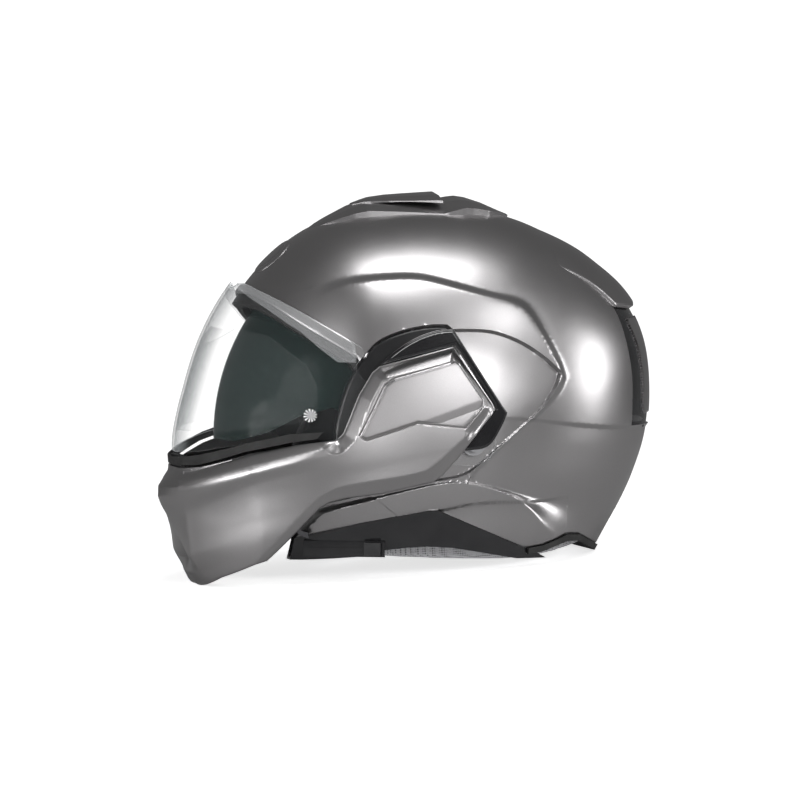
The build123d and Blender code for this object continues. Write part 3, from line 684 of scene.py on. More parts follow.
def rounded_drop(s, r):
    """How far an edge of radius r is down at distance s inside the outline."""
    s = np.clip(s, 0, r)
    return r - np.sqrt(np.maximum(0.0, r * r - (r - s) ** 2))


def crease(f, slope, soft, most):
    """Depth below a crease at f = 0, on its negative side, with a small round on it."""
    d = np.clip(-f, 0, None)
    return np.minimum(np.where(d < soft, d * d / (2 * soft), d - soft / 2) * slope, most)


def soften(sh, field, r, c=0.0):
    """Rounds the edge along field = c on the kept (negative) side, by radius r."""
    for k in (0.12, 0.4, 1.0):
        sh.split(field, c - k * r)
    d = c - field(sh.V)
    return rounded_drop(d, r)


def place_half(sh):
    """Mirror with the middle welded."""
    on = np.abs(sh.V[:, 0]) < 1e-4
    sh.V[on, 0] = 0.0
    n = len(sh.V)
    idx = np.arange(n) + n
    idx[on] = np.where(on)[0]
    V = np.vstack([sh.V, sh.V * np.array([-1.0, 1, 1])])
    F = np.vstack([sh.F, idx[sh.F][:, ::-1]])
    return Sheet(V, F)


def polar(V):
    return np.degrees(np.arctan2(V[:, 2], V[:, 1])) % 360, np.hypot(V[:, 1], V[:, 2])


def in_form(V, rf, w, off=0.0):
    """Nearest point of a smaller form to each point, seen from the hinge axis."""
    th, r = polar(V)
    u = np.clip(np.abs(V[:, 0]) / w, 0, 0.9999)
    return (rf(th) + off) * (1 - u**ROUND) ** (1 / ROUND)


# ---------------------------------------------------------------- shell
PLATE = [(-9.5, 75.5), (-15, 80.2), (-26, 80.6), (-44.3, 77.6), (-61.7, 71), (-70, 63), (-80.5, 50), (-88, 34), (-93.5, 14),
         (-94.5, -2), (-60, -20), (-20, -22), (-4, -4), (-6, 60)]
f_ridge1 = line(RIDGE1, [(170, -200), (-120, -200)])
f_ridge2 = line(RIDGE2, [(76, -200), (-31, -200)])
f_shoulder = line(SHOULDER, [(-40, -60), (-140, 20), (-120, 100)])
f_recess = region(RECESS)
JAW_EDGE = [(-66, -33.5), (-98.5, -40.6), (-104.2, -43.6), (-115.0, -57.8), (-117, -62)]
f_port = region([(-300, 103)] + BROW + PORT_SIDE + JAW_EDGE + [(-118, -67), (-300, -67)], reach=12, smooth=False)
f_rim = line([(-300, -67)] + RIM + [(300, -80.4)], [(300, -300), (-300, -300)], smooth=False)
f_jaw = region([(-300, -40), (-117.2, -62), (-118, -80), (-300, -80)], reach=8, smooth=False)
f_exh = region(EXHAUST, reach=10)
f_plate = region(PLATE, reach=10)
CREASE_R = [(21.4, 18.1), (45.4, 16.5), (75, 12.6), (105.8, 9.2), (130.2, 8.3), (175, 7.5)]
f_rear = line(CREASE_R, [(175, -90), (21, -90)])

S = globe(shell_r, 113.0, 0.75, 0.75, half=True)
S.keep(lambda V: -f_port(V), 0.0)
S.keep(lambda V: -f_rim(V), 0.0)
S.keep(lambda V: -f_jaw(V), 0.0)
for k in (0.0, -0.8, -1.6, -2.4, -3.2):
    S.split(f_ridge1, k)
for k in (0.0, -3.0, -7.0):
    S.split(f_shoulder, k)
for k in (0.0, -1.2):
    S.split(f_recess, k)
for k in (0.6, -0.6):
    S.split(f_plate, k)
for k in (0.0, -2.5):
    S.split(f_ridge2, k)
S.crisp(f_rear, 0.0)
S.crisp(f_rear, -3.0)
S.crisp(f_exh, 0.0)
S.crisp(f_exh, -0.9)
for f in (f_port, f_rim):
    for k in (0.3, 0.9, 2.0):
        S.split(f, k)

y, z = S.V[:, 1], S.V[:, 2]
base = S.V.copy()
N = S.normals()
N[np.abs(S.V[:, 0]) < 1e-4, 0] = 0
fr = f_ridge1(S.V)
L = 3.2 + 62 * sm((y - 15) / 120)
flare = 10.0 * sm(np.clip(-fr / L, 0, 1)) * (fr < 0)
fs = f_shoulder(S.V)
amp = 3.4 * sm((y + 108) / 45) * sm((150 - np.abs(y)) / 40)
up = amp * sm(-fs / 7.0)
frc = f_recess(S.V)
up = np.where(frc < 0, up * (1 - sm(-frc / 1.2)), up)
up = up * sm((f_plate(S.V) + 0.6) / 1.2)
fc = f_rear(S.V)
fade = sm((y - 20) / 25)
up = up - 1.5 * fade * sm(-fc / 3.0) * (1 - sm((-fc - 3.0) / 42.0)) * (fr > 0)
fe = f_exh(S.V)
inex = (fe < 0) & (np.abs(S.V[:, 0]) < 69) & (y > 100)
up = np.where(inex, up - 0.8 * sm(-fe / 0.8), up)
r2 = f_ridge2(S.V)
edge = np.minimum(f_port(S.V), f_rim(S.V))
drop = rounded_drop(edge, 2.0) * 0.8
S.V = S.V + N * (up - drop)[:, None]
S.V[:, 0] += flare * np.clip(S.V[:, 0] / 113.0, 0, 1)
th, rr = polar(S.V)
# the side keeps clear of the arms of the chin bar when they turn past it
turn_x = 117.2 * (1 - np.clip(rr / 187.2, 0, 0.9999) ** ROUND) ** (1 / ROUND)
facing = np.where(th > 120, sm((th - 165) / 20), sm((74 - th) / 10)) * sm((128 - rr) / 20)
S.V[:, 0] = smin(S.V[:, 0], np.minimum(117.3 + 9.0 * sm((rr - 86) / 12), turn_x + 60 * (1 - facing)), 1.0)
# ridge over the foot of the side, where the lip turns under
S.V[:, 0] -= 2.2 * sm(-r2 / 2.5) * (1 - sm((-r2 - 2) / 30.0)) * sm((82 - y) / 34) * sm((y + 34) / 12) * sm(S.V[:, 0] / 60) * (z < -20)
# evens out the small steps of the net along the ridges
inner = np.clip((np.abs(S.V[:, 0]) - 1.0) / 4.0, 0, 1) * (edge > 2.5)
near = sm((7.0 - np.abs(fs + 3.5)) / 3.0) * sm((np.abs(frc + 0.6) - 3.0) / 2.0)
S.smooth(0.5, 4, near * inner)
back = base - N * 3.7
back[:, 0] += np.maximum(0, flare - 0.5) * np.clip(base[:, 0] / 113.0, 0, 1)
back[:, 0] = np.minimum(back[:, 0], S.V[:, 0] - 2.5 * np.clip(N[:, 0], 0, 1))
exh_face = f_exh(S.V[S.F].mean(1))
fm = ((exh_face < 0) & (np.abs(S.V[S.F].mean(1)[:, 0]) < 69.5) & (S.V[S.F].mean(1)[:, 1] > 100)).astype(int)
nb = len(S.V)
W = place_half(S)
n2 = len(W.V)
B = np.vstack([back, back * np.array([-1.0, 1, 1])])
keepB = np.abs(S.V[:, 0]) < 1e-4
B[:nb][keepB, 0] = 0
fm2 = np.concatenate([fm, fm])
exF, shF = W.F[fm2 == 1], W.F[fm2 == 0]
in_panel = (f_exh(W.V[exF].mean(1)) < -9.0) & (np.abs(W.V[exF].mean(1)[:, 0]) < 52)
full = Sheet(W.V, shF).slab(B)
piece("shell", full, "paint", "helmet", ["outer_shell"])
ex = Sheet(W.V.copy(), exF[~in_panel]).tidy()
ex.V = ex.V - ex.normals() * 0.9
piece("rear_panel", ex.slab(1.4), "gloss", "helmet", ["rear_exhaust"])
ex = Sheet(W.V.copy(), exF[in_panel]).tidy()
ex.V = ex.V + ex.normals() * 0.4
piece("rear_vent_cover", ex.slab(2.0), "paint", "helmet", ())

# ---------------------------------------------------------------- brow trim and port edging
band_poly = BROW_UP + [(-70.2, 62.6), (-72, 58.5), (-78, 58.0)] + [(a, b) for a, b in reversed(BROW[:-1])] + [(-150, 103)]
f_band = region(band_poly, reach=10)
T_ = globe(shell_r, 113.0, 0.6, 0.6, t0=100, t1=160, half=True, off=2.3)
T_.keep(f_band)
d = soften(T_, f_band, 1.8)
T_.lift(-d * 0.9)
T_ = place_half(T_)
piece("brow_trim_band", T_.slab(2.2), "paint", "helmet", ["brow_trim"])

# ---------------------------------------------------------------- visor
LENS_EDGE = [(-160, 122), (-146.5, 107.1), (-143.9, 109.8), (-141.5, 110.2), (-135.6, 105.4), (-127.1, 99.8),
             (-107.3, 87.1), (-89.2, 75.5), (-76, 66.8), (-74.6, 64), (-76, 59), (-80, 54.5), (-79.5, 50)]
f_low = line([(-160, 112)] + LENS_TOP[1:-1] + [(-92, 56), (-80, 56)], [(-80, 200), (-160, 200)], smooth=False)
lens_poly = LENS_EDGE + [(-74, 42), (-24, 18), (0, 16), (12, 12), (17, 0), (12, -12), (0, -16), (-24, -15),
                        (-70, -7)] + LENS_LOW + [(-230, -20), (-230, 119)]
f_lens = region(lens_poly, reach=12, smooth=False)
G = globe(visor_r, 117.6, 0.75, 0.75, half=True)
G.keep(f_lens)
G.keep(lambda V: 9.0 - np.hypot(V[:, 1], V[:, 2]), 0.0)
G.split(f_low, 0.0)
for k in (-0.25, -0.8):
    G.split(f_lens, k)
dd = rounded_drop(-f_lens(G.V), 0.8)
bn = G.normals()
bn[np.abs(G.V[:, 0]) < 1e-4, 0] = 0
outerV = G.V - bn * (dd * 0.6)[:, None]
backV = G.V - bn * 1.8
G.V = outerV
G2 = place_half(G)
Bv = np.vstack([backV, backV * np.array([-1.0, 1, 1])])
nF = len(G2.F)
G3 = G2.slab(Bv)
fm = np.zeros(len(G3.F), int)
# the slab's edge faces take the near-white painted edge highlight
fm[2 * nF:] = 1
midp = G2.V[G2.F].mean(1)
fm[:nF] = np.where((f_low(midp) < 0) & (np.hypot(midp[:, 1], midp[:, 2]) < 181.0), 2, 0)
piece("visor_shield", G3, "clear", "visor", ["visor_lens"], mats=["clear", "clear_painted_edge_highlight", "clear_rim"], face_mat=fm)

# ---------------------------------------------------------------- chin bar
chin_low = [(-146.8, -86), (-164.4, -96.7), (-172, -104.3), (-230, -165), (-230, -28), (-192, -21.0)]
chin_top = [(-187.1, -20.2), (-180, -18.6), (-153, -8), (-125, -1), (-108, 1.5)]
chin_poly = ARM_TOP + ARM_LOW + chin_low + chin_top
f_chin = region(chin_poly, reach=14, smooth=False)
SHELF = [(-240, -47), (-187.1, -29.8), (-151.1, -16.5), (-120.4, -7.5), (-104.5, -3.0), (-98.5, 1.2), (-95, 8), (-92.5, 16), (-86, 40)]
f_shelf = line(SHELF, [(-90, 120), (-240, 120)])          # negative above the crease
SOFT = [(-200, -60), (-181.3, -45.5), (-169.2, -35.1), (-147.3, -22.7), (-104.1, -12.0), (-60, 0)]
f_soft = line(SOFT, [(-60, 120), (-200, 120)])
POD_EDGE = ARM_TOP[5:] + ARM_LOW[:4]
BAND = [(-147.5, -85), (-132, -64.5), (-116, -44), (-108, -35.6), (-100, -31.0)] + POD_LOW[1:] + [(14, 26)]
f_podlow = line(BAND, [(40, 26), (40, -120), (-147.5, -120)])   # negative below
f_panel = region(POD_PANEL, reach=16, smooth=False)
BEVEL_T = [(-98, 3), (-93.7, 7.5), (-90.6, 14.9), (-82.9, 34.1), (-72.9, 50.5), (-67.5, 54.9), (-14.9, 68.3), (12.4, 27.8),
           (14, 23.3), (0.8, 7.3)]
f_edge_t = line(BEVEL_T, [(6, -60), (-150, -110), (-150, 3)], smooth=False)   # negative inside the pod
REAR_LOW = [(-140.1, -83.4), (-124.7, -64.4), (-108.7, -44.9), (-102.5, -40.9), (-90.9, -37.7), (-66.4, -35)]
f_rl = line(REAR_LOW, [(-66, -120), (-140, -120)], smooth=False)   # positive on the chin bar

C = globe(chin_r, 131.0, 0.55, 0.6, half=True)
C.keep(f_chin)
for k in (0.0, -1.0):
    C.crisp(f_shelf, k)
for k in (0.0, -1.2):
    C.crisp(f_podlow, k)
for k in (0.0, 0.5, 1.2):
    C.split(f_panel, k)
for k in (-0.3, -0.9, -2.0):
    C.split(f_chin, k)
C.split(f_edge_t, -10.0)
x_nose = lambda V: V[:, 0] - 28.0
C.split(lambda V: np.where(V[:, 1] < -140, V[:, 0] - 28.0, 50.0), 0.0)
NOSE = np.array([(180, 188.8), (186.1, 190.3), (188, 194.9), (189.9, 200.5), (191.7, 202.1), (197.8, 199.6), (201.1, 197.4),
                 (205.6, 195.8), (208.2, 202.2), (211.1, 201.2), (216, 203)])
for a in (189.9, 191.7, 201.1, 205.6, 208.2):
    C.split(lambda V, a=a: np.where((V[:, 0] < 28.05) & (V[:, 1] < -150), (polar(V)[0] - a) * 3.3, 50.0), 0.0, snap=0.12)

base = C.V.copy()
N = C.normals()
N[np.abs(C.V[:, 0]) < 1e-4, 0] = 0
th, rr = polar(C.V)
x = C.V[:, 0]
y, z = C.V[:, 1], C.V[:, 2]
# nose: a ridge on the middle with a facet on each side of it
w = np.clip(1 - x / 28.0, 0, 1) * (th > 180) * (th < 216)
add_r = (np.interp(th, NOSE[:, 0], NOSE[:, 1]) - chin_r(th)) * w
corner = np.interp(th, [183, 187, 190, 198, 204, 208], [0.0, 1.8, 4.4, 4.8, 4.4, 0.6])
add_r = add_r + corner * np.where(x < 28, x / 28.0, np.clip(1 - (x - 28.0) / 44.0, 0, 1) ** 1.6)
# flatter side face, from the corner beside the nose back to the arm
flat_n = np.array([0.547, -0.830, -0.110])
deep = (base @ flat_n - 171.6) / np.maximum(N @ flat_n, 0.3)
side_in = np.clip(deep, 0, 9.5) * 0.25 * np.clip((x - 28.0) / 5.0, 0, 1) * sm((-20 - z) / 35) * sm((th - 180) / 4)
C.V[:, 1] += add_r * np.cos(np.radians(th))
C.V[:, 2] += add_r * np.sin(np.radians(th))
# shelf above the upper crease
fsh = f_shelf(base)
free = in_form(base, drum_r, 118.7)
slope = crease(fsh, 0.62, 1.0, 9.0)
fso = f_soft(base)
softd = 1.4 * sm((5 - fso) / 10.0) * sm(fsh / 3.0) * sm((-98 - y) / 30)
fpl = f_podlow(base)
pod_in = crease(fpl, 0.45, 1.2, 6.0)
fet = f_edge_t(base)
bev = np.clip((10.0 + fet) / 10.0, 0, 1) * 6.5 * sm((y + 108) / 14) * sm((fpl + 8) / 8)
fpn = f_panel(base)
groove = 1.3 * (1 - np.abs(np.clip(fpn, 0, 1.2) - 0.5) / 0.7) * (fpn > -0.2) * (fpn < 1.2)
groove = np.clip(groove, 0, 1.3)
fch = f_chin(base)
dro = rounded_drop(-fch, 2.0) * 0.7
total = slope - softd + pod_in + bev * (x > 90) + groove * 0.5 + side_in + dro
# back face: the free drum, or the inside of the arm
th0, rr0 = polar(base)
u = np.clip(base[:, 0] / 131.0, 0, 0.9995)
g = (1 - u**ROUND) ** (1 / ROUND)
bx = u * 118.95
rb = 188.95 * g
back = np.stack([bx, rb * np.cos(np.radians(th0)), rb * np.sin(np.radians(th0))], -1)
# never inside the space that the visor turns in
gap = ((base - back) * N).sum(1)
total = np.minimum(total, np.maximum(gap - 0.8, 0.0))
C.V = C.V - N * total[:, None]
thick = base - N * 6.5
near = sm((5.0 - np.abs(fsh)) / 2.5) * (np.abs(fch) > 2.5) * np.clip((x - 30.0) / 6.0, 0, 1)
C.smooth(0.5, 5, near)
far = np.linalg.norm(base - back, axis=1) > 9.0
t = np.clip((np.linalg.norm(base - back, axis=1) - 6.5) / 3.0, 0, 1)[:, None]
back = back * (1 - t) + thick * t
arm = (rr0 < 90)
pod_face = (f_panel(C.V[C.F].mean(1)) < 0.3)
bk = back
nb = len(C.V)
W = place_half(C)
keep0 = np.abs(C.V[:, 0]) < 1e-4
bk[keep0, 0] = 0
B = np.vstack([bk, bk * np.array([-1.0, 1, 1])])
chin = W.slab(B)
o_chin = piece("chin_bar_outer", chin, "paint", "chin_bar", ["chin_bar_shell"], angle=40.0)
beside = np.abs(x - 28.0) < 0.3
rows = [C.V[beside & (th > 186.5) & (th < 207.5)]]
for a in (189.9, 201.1, 205.6):
    rows.append(C.V[(x < 28.3) & (np.abs(th - a) < 0.12)])
hard_lines(o_chin, rows + [q * np.array([-1.0, 1, 1]) for q in rows])

# pod panels: five-sided, with a fold across
f_fold = line([(20, 36.5), (3.1, 30.9), (-42.8, 14.9), (-78.4, 2.9), (-100, -5)], [(-100, -60), (20, -60)], smooth=False)
P = globe(chin_r, 131.0, 0.8, 0.6, half=True, off=0.55)
P.keep(lambda V: np.where(V[:, 0] > 100, f_panel(V), 9.0), -0.35)
for k in (-0.6, -1.0, -1.8):
    P.split(f_panel, k)
P.split(f_fold, 0.0)
d = rounded_drop(-0.35 - f_panel(P.V), 1.3)
fold = np.where(f_fold(P.V) < 0, -f_fold(P.V) * 0.10, 0)
P.lift(-(d * 0.8 + fold))
P.V[:, 0] = np.minimum(P.V[:, 0], 130.6)
piece("pod_panel_left", P.slab(1.8), "paint_pod", "chin_bar", ["pod_cover_left"])
piece("pod_panel_right", P.mirrored().slab(1.8), "paint_pod", "chin_bar", ["pod_cover_right"])


# black caps on the arms, over and behind the pods
def flat_sheet(poly, xfun, step=0.8, smooth=True, reach=6.0):
    pts = dense(poly) if smooth else np.asarray(poly, float)
    f = region(poly, reach=reach, smooth=smooth)
    lo, hi = pts.min(0) - 1.5, pts.max(0) + 1.5
    ys, zs = np.arange(lo[0], hi[0], step), np.arange(lo[1], hi[1], step)
    Y, Z = np.meshgrid(ys, zs, indexing="ij")
    V = np.stack([np.zeros(Y.size), Y.ravel(), Z.ravel()], -1)
    a, b = Y.shape
    I, J = np.meshgrid(np.arange(a - 1), np.arange(b - 1), indexing="ij")
    q = np.stack([I * b + J, (I + 1) * b + J, (I + 1) * b + J + 1, I * b + J + 1], -1).reshape(-1, 4)
    sh = Sheet(V, np.vstack([q[:, [0, 1, 2]], q[:, [0, 2, 3]]]))
    sh.keep(f)
    for k in (-0.3, -1.0, -2.0):
        sh.split(f, k)
    sh.V[:, 0] = xfun(sh.V) - rounded_drop(-f(sh.V), 2.0) * 0.75
    return sh


base_x = lambda V: 113.0 * (1 - np.clip(np.hypot(V[:, 1], V[:, 2]) / shell_r(polar(V)[0]), 0, 0.999) ** ROUND) ** (1 / ROUND)
Q = flat_sheet(PLATE, lambda V: np.minimum(base_x(V) + 2.0, 114.8))
Bq = Q.V.copy()
Bq[:, 0] = np.maximum(base_x(Q.V) - 2.0, 80)
piece("pivot_cover_left", Q.slab(Bq), "plate", "helmet", ["pivot_plate_left"])
Q = Q.mirrored()
Bq = Bq * np.array([-1.0, 1, 1])
piece("pivot_cover_right", Q.slab(Bq), "plate", "helmet", ["pivot_plate_right"])
cap_x = lambda V: 124.2 - 1.2 * sm((np.hypot(V[:, 1], V[:, 2]) - 60) / 30)
Q = flat_sheet(ARM_CAP, cap_x)
Bq = Q.V.copy()
Bq[:, 0] = 119.2
piece("arm_cap_left", Q.slab(Bq), "gloss", "chin_bar", ["hinge_arm_left"])
Q = Q.mirrored()
Bq = Q.V.copy()
Bq[:, 0] = -119.2
piece("arm_cap_right", Q.slab(Bq), "gloss", "chin_bar", ["hinge_arm_right"])

# ---------------------------------------------------------------- crown vent, spoiler, disc
def block(outline_fn, xs, ys, top_fn, floor_fn, name, mat, body, reps, slot, skew=None):
    pass


def ridge_form(name, prof_y, z_top, half_w, z_drop, body, reps, mat="paint", sink=3.0, edge=1.2, offset=(0, 0, 0), nx=41, ny=120):
    """A vent cover: a lengthwise profile, rounded off to each side, closed below."""
    ys = np.linspace(prof_y[0], prof_y[-1], ny)
    zt = np.interp(ys, prof_y, z_top)
    hw = np.interp(ys, prof_y, half_w)
    dr = np.interp(ys, prof_y, z_drop)
    ts = np.linspace(-1, 1, nx)
    Y, Tt = np.meshgrid(ys, ts, indexing="ij")
    X = Tt * hw[:, None]
    flat = np.abs(Tt)
    Z = zt[:, None] - dr[:, None] * np.where(flat < 0.55, 0.35 * flat / 0.55, 0.35 + 0.65 * (flat - 0.55) / 0.45)
    V = np.stack([X, Y, Z], -1).reshape(-1, 3) + np.array(offset)
    a, b = ny, nx
    I, J = np.meshgrid(np.arange(a - 1), np.arange(b - 1), indexing="ij")
    q = np.stack([I * b + J, I * b + J + 1, (I + 1) * b + J + 1, (I + 1) * b + J], -1).reshape(-1, 4)
    sh = Sheet(V, np.vstack([q[:, [0, 1, 2]], q[:, [0, 2, 3]]]))
    low = V.copy()
    th, r = polar(low)
    tgt = in_form(low, shell_r, 113.0) - sink
    k = np.minimum(tgt / np.maximum(r, 1e-6), 1 - 0.6 / np.maximum(r, 1e-6))
    low[:, 1] *= k
    low[:, 2] *= k
    sl = sh.slab(low)
    return piece(name, sl, mat, body, reps, angle=24.0)


ridge_form("crown_vent_base", [-91, -84, -76.9, -62, -52, -44, -30, -20.6, 0.5, 3.4, 6, 12, 18.2, 26, 38.5, 55.8],
           [147.6, 152.6, 156.9, 164.6, 168.2, 168.9, 169.3, 169.4, 169.3, 169.2, 170.2, 171.3, 172.0, 170.9, 167.0, 159.6],
           [7, 12, 17, 24, 27, 28.5, 30, 31, 33, 33, 33, 32, 31, 29, 25, 12],
           [1.2, 2.4, 3.6, 6, 7.4, 8.2, 9, 9.5, 10.4, 10.4, 10.4, 10, 9.2, 8.2, 6.0, 1.6], "helmet", ["top_vent_base"])
ridge_form("crown_vent_flap", [-58, -50.2, -46, -34, -20.6, 2.4, 3.6], [166.8, 169.6, 170.9, 172.6, 173.6, 175.0, 174.4],
           [4, 10, 13, 18, 21, 26, 26], [1.0, 2.2, 3.0, 4.6, 5.6, 6.6, 6.6], "crown_vent", ["top_vent_slider"], sink=-6.2, nx=31, ny=70)

# spoiler
Sp = globe(shell_r, 113.0, 0.6, 0.7, t0=20, t1=75, half=True, off=3.0)
SPO = [(58, 130), (66, 122.8), (78, 119), (103, 104.2), (112, 98.6), (125, 94.2), (143.6, 92.6), (152, 98), (175, 130), (107, 160), (60, 150)]
f_spo = region(SPO, reach=10, smooth=False)
Sp.keep(f_spo)
Sp.keep(lambda V: V[:, 0] - 65.5 + 0.1 * (V[:, 1] - 60), 0.0)
for k in (-0.3, -0.9, -1.8):
    Sp.split(f_spo, k)
f_sx = lambda V: V[:, 0] - 65.5 + 0.1 * (V[:, 1] - 60)
for k in (-0.3, -0.9, -1.8):
    Sp.split(f_sx, k)
dd = np.maximum(rounded_drop(-f_spo(Sp.V), 1.8), rounded_drop(-f_sx(Sp.V), 1.8))
kick = 1.6 * sm((Sp.V[:, 1] - 118) / 25) - 1.2
taper = 2.6 * (1 - sm((Sp.V[:, 1] - 62) / 50))
Sp.lift(kick - dd * 0.7 - taper)
th, rr = polar(Sp.V)
lowS = Sp.V.copy()
tg = in_form(Sp.V, shell_r, 113.0) - 0.4
k = np.minimum(tg / rr, 1 - 0.5 / rr)
lowS[:, 1] *= k
lowS[:, 2] *= k
W = place_half(Sp)
B = np.vstack([lowS, lowS * np.array([-1.0, 1, 1])])
piece("spoiler", W.slab(B), "paint", "helmet", ["rear_spoiler"])

# plain round disc on the forehead
c0 = np.array([0, math.cos(math.radians(132)), math.sin(math.radians(132))])
t1 = np.array([0, -math.sin(math.radians(132)), math.cos(math.radians(132))])
rings = [0.0, 4, 8, 11.2, 11.8, 12.4, 14.8, 15.6, 16.3, 17.0, 17.5]
hts = [1.1, 1.1, 1.05, 1.0, 0.55, 0.95, 1.15, 1.05, 0.8, 0.4, -0.3]
nA = 96
V, F = [], []
for r_, h_ in zip(rings, hts):
    for i in range(nA):
        a = 2 * math.pi * i / nA
        p = np.array([r_ * math.cos(a), 0, 0]) + t1 * r_ * math.sin(a)
        q = p + c0 * 172
        th_ = math.degrees(math.atan2(q[2], q[1]))
        u_ = min(0.99, abs(q[0]) / 113.0)
        rs = (float(shell_r(th_)) + h_) * (1 - u_**ROUND) ** (1 / ROUND)
        n_ = math.hypot(q[1], q[2])
        V.append((q[0], q[1] * rs / n_, q[2] * rs / n_))
for k in range(len(rings) - 1):
    for i in range(nA):
        j = (i + 1) % nA
        a, b, c, d_ = k * nA + i, k * nA + j, (k + 1) * nA + j, (k + 1) * nA + i
        if rings[k] > 0:
            F += [(a, b, c), (a, c, d_)]
        else:
            F += [(a, c, d_)]
D_ = Sheet(V, np.array(F))
if (D_.normals() @ c0).mean() < 0:
    D_.F = D_.F[:, ::-1]
piece("forehead_round", D_.slab(0.6), "paint", "helmet", ["forehead_disc"])


# ---------------------------------------------------------------- soft pieces, from their plain solids
def soft_from(node, name, mat, body, voxel=0.003, steps=10, swell=0.0):
    src = frame["nodes"][node]
    me = src.data.copy()
    o = bpy.data.objects.new(name, me)
    bpy.context.scene.collection.objects.link(o)
    r = o.modifiers.new("r", "REMESH")
    r.mode = "VOXEL"
    r.voxel_size = voxel
    s = o.modifiers.new("s", "SMOOTH")
    s.factor = 0.6
    s.iterations = steps
    dg = bpy.context.evaluated_depsgraph_get()
    new = bpy.data.meshes.new_from_object(o.evaluated_get(dg))
    o.modifiers.clear()
    o.data = new
    new.materials.clear()
    new.materials.append(M[mat])
    new.polygons.foreach_set("use_smooth", np.ones(len(new.polygons), bool))
    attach(o, body)
    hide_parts(node)
    return o


soft_from("crown_pad", "comfort_liner", "pad", "helmet")
soft_from("cheek_pad_left", "cheek_cushion_left", "pad", "helmet")
soft_from("cheek_pad_right", "cheek_cushion_right", "pad", "helmet")
soft_from("neck_roll", "neck_cushion", "mesh", "helmet", voxel=0.0022, steps=6)

# ---------------------------------------------------------------- pieces kept as they are
def fluted(name, node, low, high, flutes=9.0):
    """Moulded head with flutes that run out from its middle; the hollows of the flutes are painted near black as
    painted shade.
    """
    box = [Vector(c) for c in bpy.data.objects[node].bound_box]
    mid_ = sum(box, Vector()) / 8
    m, nt, b = new_mat(name, high, 0.25)
    t = add(nt, "ShaderNodeTexCoord")
    mp = add(nt, "ShaderNodeMapping")
    mp.inputs["Location"].default_value = -mid_
    nt.links.new(t.outputs["Object"], mp.inputs["Vector"])
    sx = add(nt, "ShaderNodeSeparateXYZ")
    nt.links.new(mp.outputs["Vector"], sx.inputs["Vector"])
    at = add(nt, "ShaderNodeMath", operation="ARCTAN2")
    nt.links.new(sx.outputs["Z"], at.inputs[0])
    nt.links.new(sx.outputs["Y"], at.inputs[1])
    mu = add(nt, "ShaderNodeMath", operation="MULTIPLY")
    nt.links.new(at.outputs[0], mu.inputs[0])
    mu.inputs[1].default_value = flutes
    si = add(nt, "ShaderNodeMath", operation="SINE")
    nt.links.new(mu.outputs[0], si.inputs[0])
    # near black in the hollows of the flutes, light on their ridges: painted shade
    painted_flute_shade = add(nt, "ShaderNodeValToRGB")
    painted_flute_shade.color_ramp.elements[0].position = 0.0
    painted_flute_shade.color_ramp.elements[1].position = 0.35
    painted_flute_shade.color_ramp.elements[0].color = (*low, 1)
    painted_flute_shade.color_ramp.elements[1].color = (*high, 1)
    nt.links.new(si.outputs[0], painted_flute_shade.inputs["Fac"])
    nt.links.new(painted_flute_shade.outputs["Color"], b.inputs["Base Color"])
    bump(nt, b, si.outputs[0], 0.4, 0.0006)
    return m


# light grey pin heads, with painted shade in the hollows of their flutes
for side in ("left", "right"):
    M["star_" + side] = fluted("pin_head_" + side, "fog_pin_" + side, (0.02, 0.02, 0.02), (0.80, 0.80, 0.81), 12.0)
for names, mat in (
        ("eyeport_gasket rim_trim chin_sill", "rubber"),
        ("eps_liner", "foam"),
        ("lower_panel_left lower_panel_right slider_track bay_cover", "gloss"),
        ("sun_slider chin_bar_liner chin_vent_shutter buckle_lever sun_pivot_left sun_pivot_right visor_tab", "black"),
        ("release_button", "red"),
        ("fog_pin_left", "star_left"),
        ("fog_pin_right", "star_right"),
        ("fog_lens", "fog"),
        ("sun_lens", "tint"),
        ("chin_strap_left chin_strap_right", "web"),
        ("pivot_pin_left pivot_pin_right "
         "strap_rivet_left strap_rivet_right buckle_housing buckle_tongue", "steel"),
        # latch strikers and hooks: near-black steel, painted shade under the chin bar's rear edge
        ("latch_striker_left latch_striker_right latch_hook_left latch_hook_right", "steel_dark")):
    for n in names.split():
        carry(n, mat)

# ---------------------------------------------------------------- floor, backdrop, light, camera
white = bpy.data.materials.new("studio_white")
white.use_nodes = True
bs = white.node_tree.nodes["Principled BSDF"]
bs.inputs["Emission Color"].default_value = (1, 1, 1, 1)
path = add(white.node_tree, "ShaderNodeLightPath")
glow = add(white.node_tree, "ShaderNodeMapRange")
glow.inputs["To Min"].default_value = 0.72
glow.inputs["To Max"].default_value = 0.0
white.node_tree.links.new(path.outputs["Is Glossy Ray"], glow.inputs["Value"])
white.node_tree.links.new(glow.outputs["Result"], bs.inputs["Emission Strength"])
tone = add(white.node_tree, "ShaderNodeValToRGB")
tone.color_ramp.elements[0].color = (0.93, 0.93, 0.93, 1)
tone.color_ramp.elements[1].color = (0.40, 0.40, 0.40, 1)
white.node_tree.links.new(path.outputs["Is Glossy Ray"], tone.inputs["Fac"])
white.node_tree.links.new(tone.outputs["Color"], bs.inputs["Base Color"])
bs.inputs["Roughness"].default_value = 0.9
bs.inputs["Specular IOR Level"].default_value = 0.1
me = bpy.data.meshes.new("floor")
me.from_pydata([(0.75 * math.cos(2 * math.pi * i / 96), 0.75 * math.sin(2 * math.pi * i / 96), 0) for i in range(96)], [], [list(range(96))])
floor = bpy.data.objects.new("floor", me)
me.materials.append(white)
bpy.context.scene.collection.objects.link(floor)

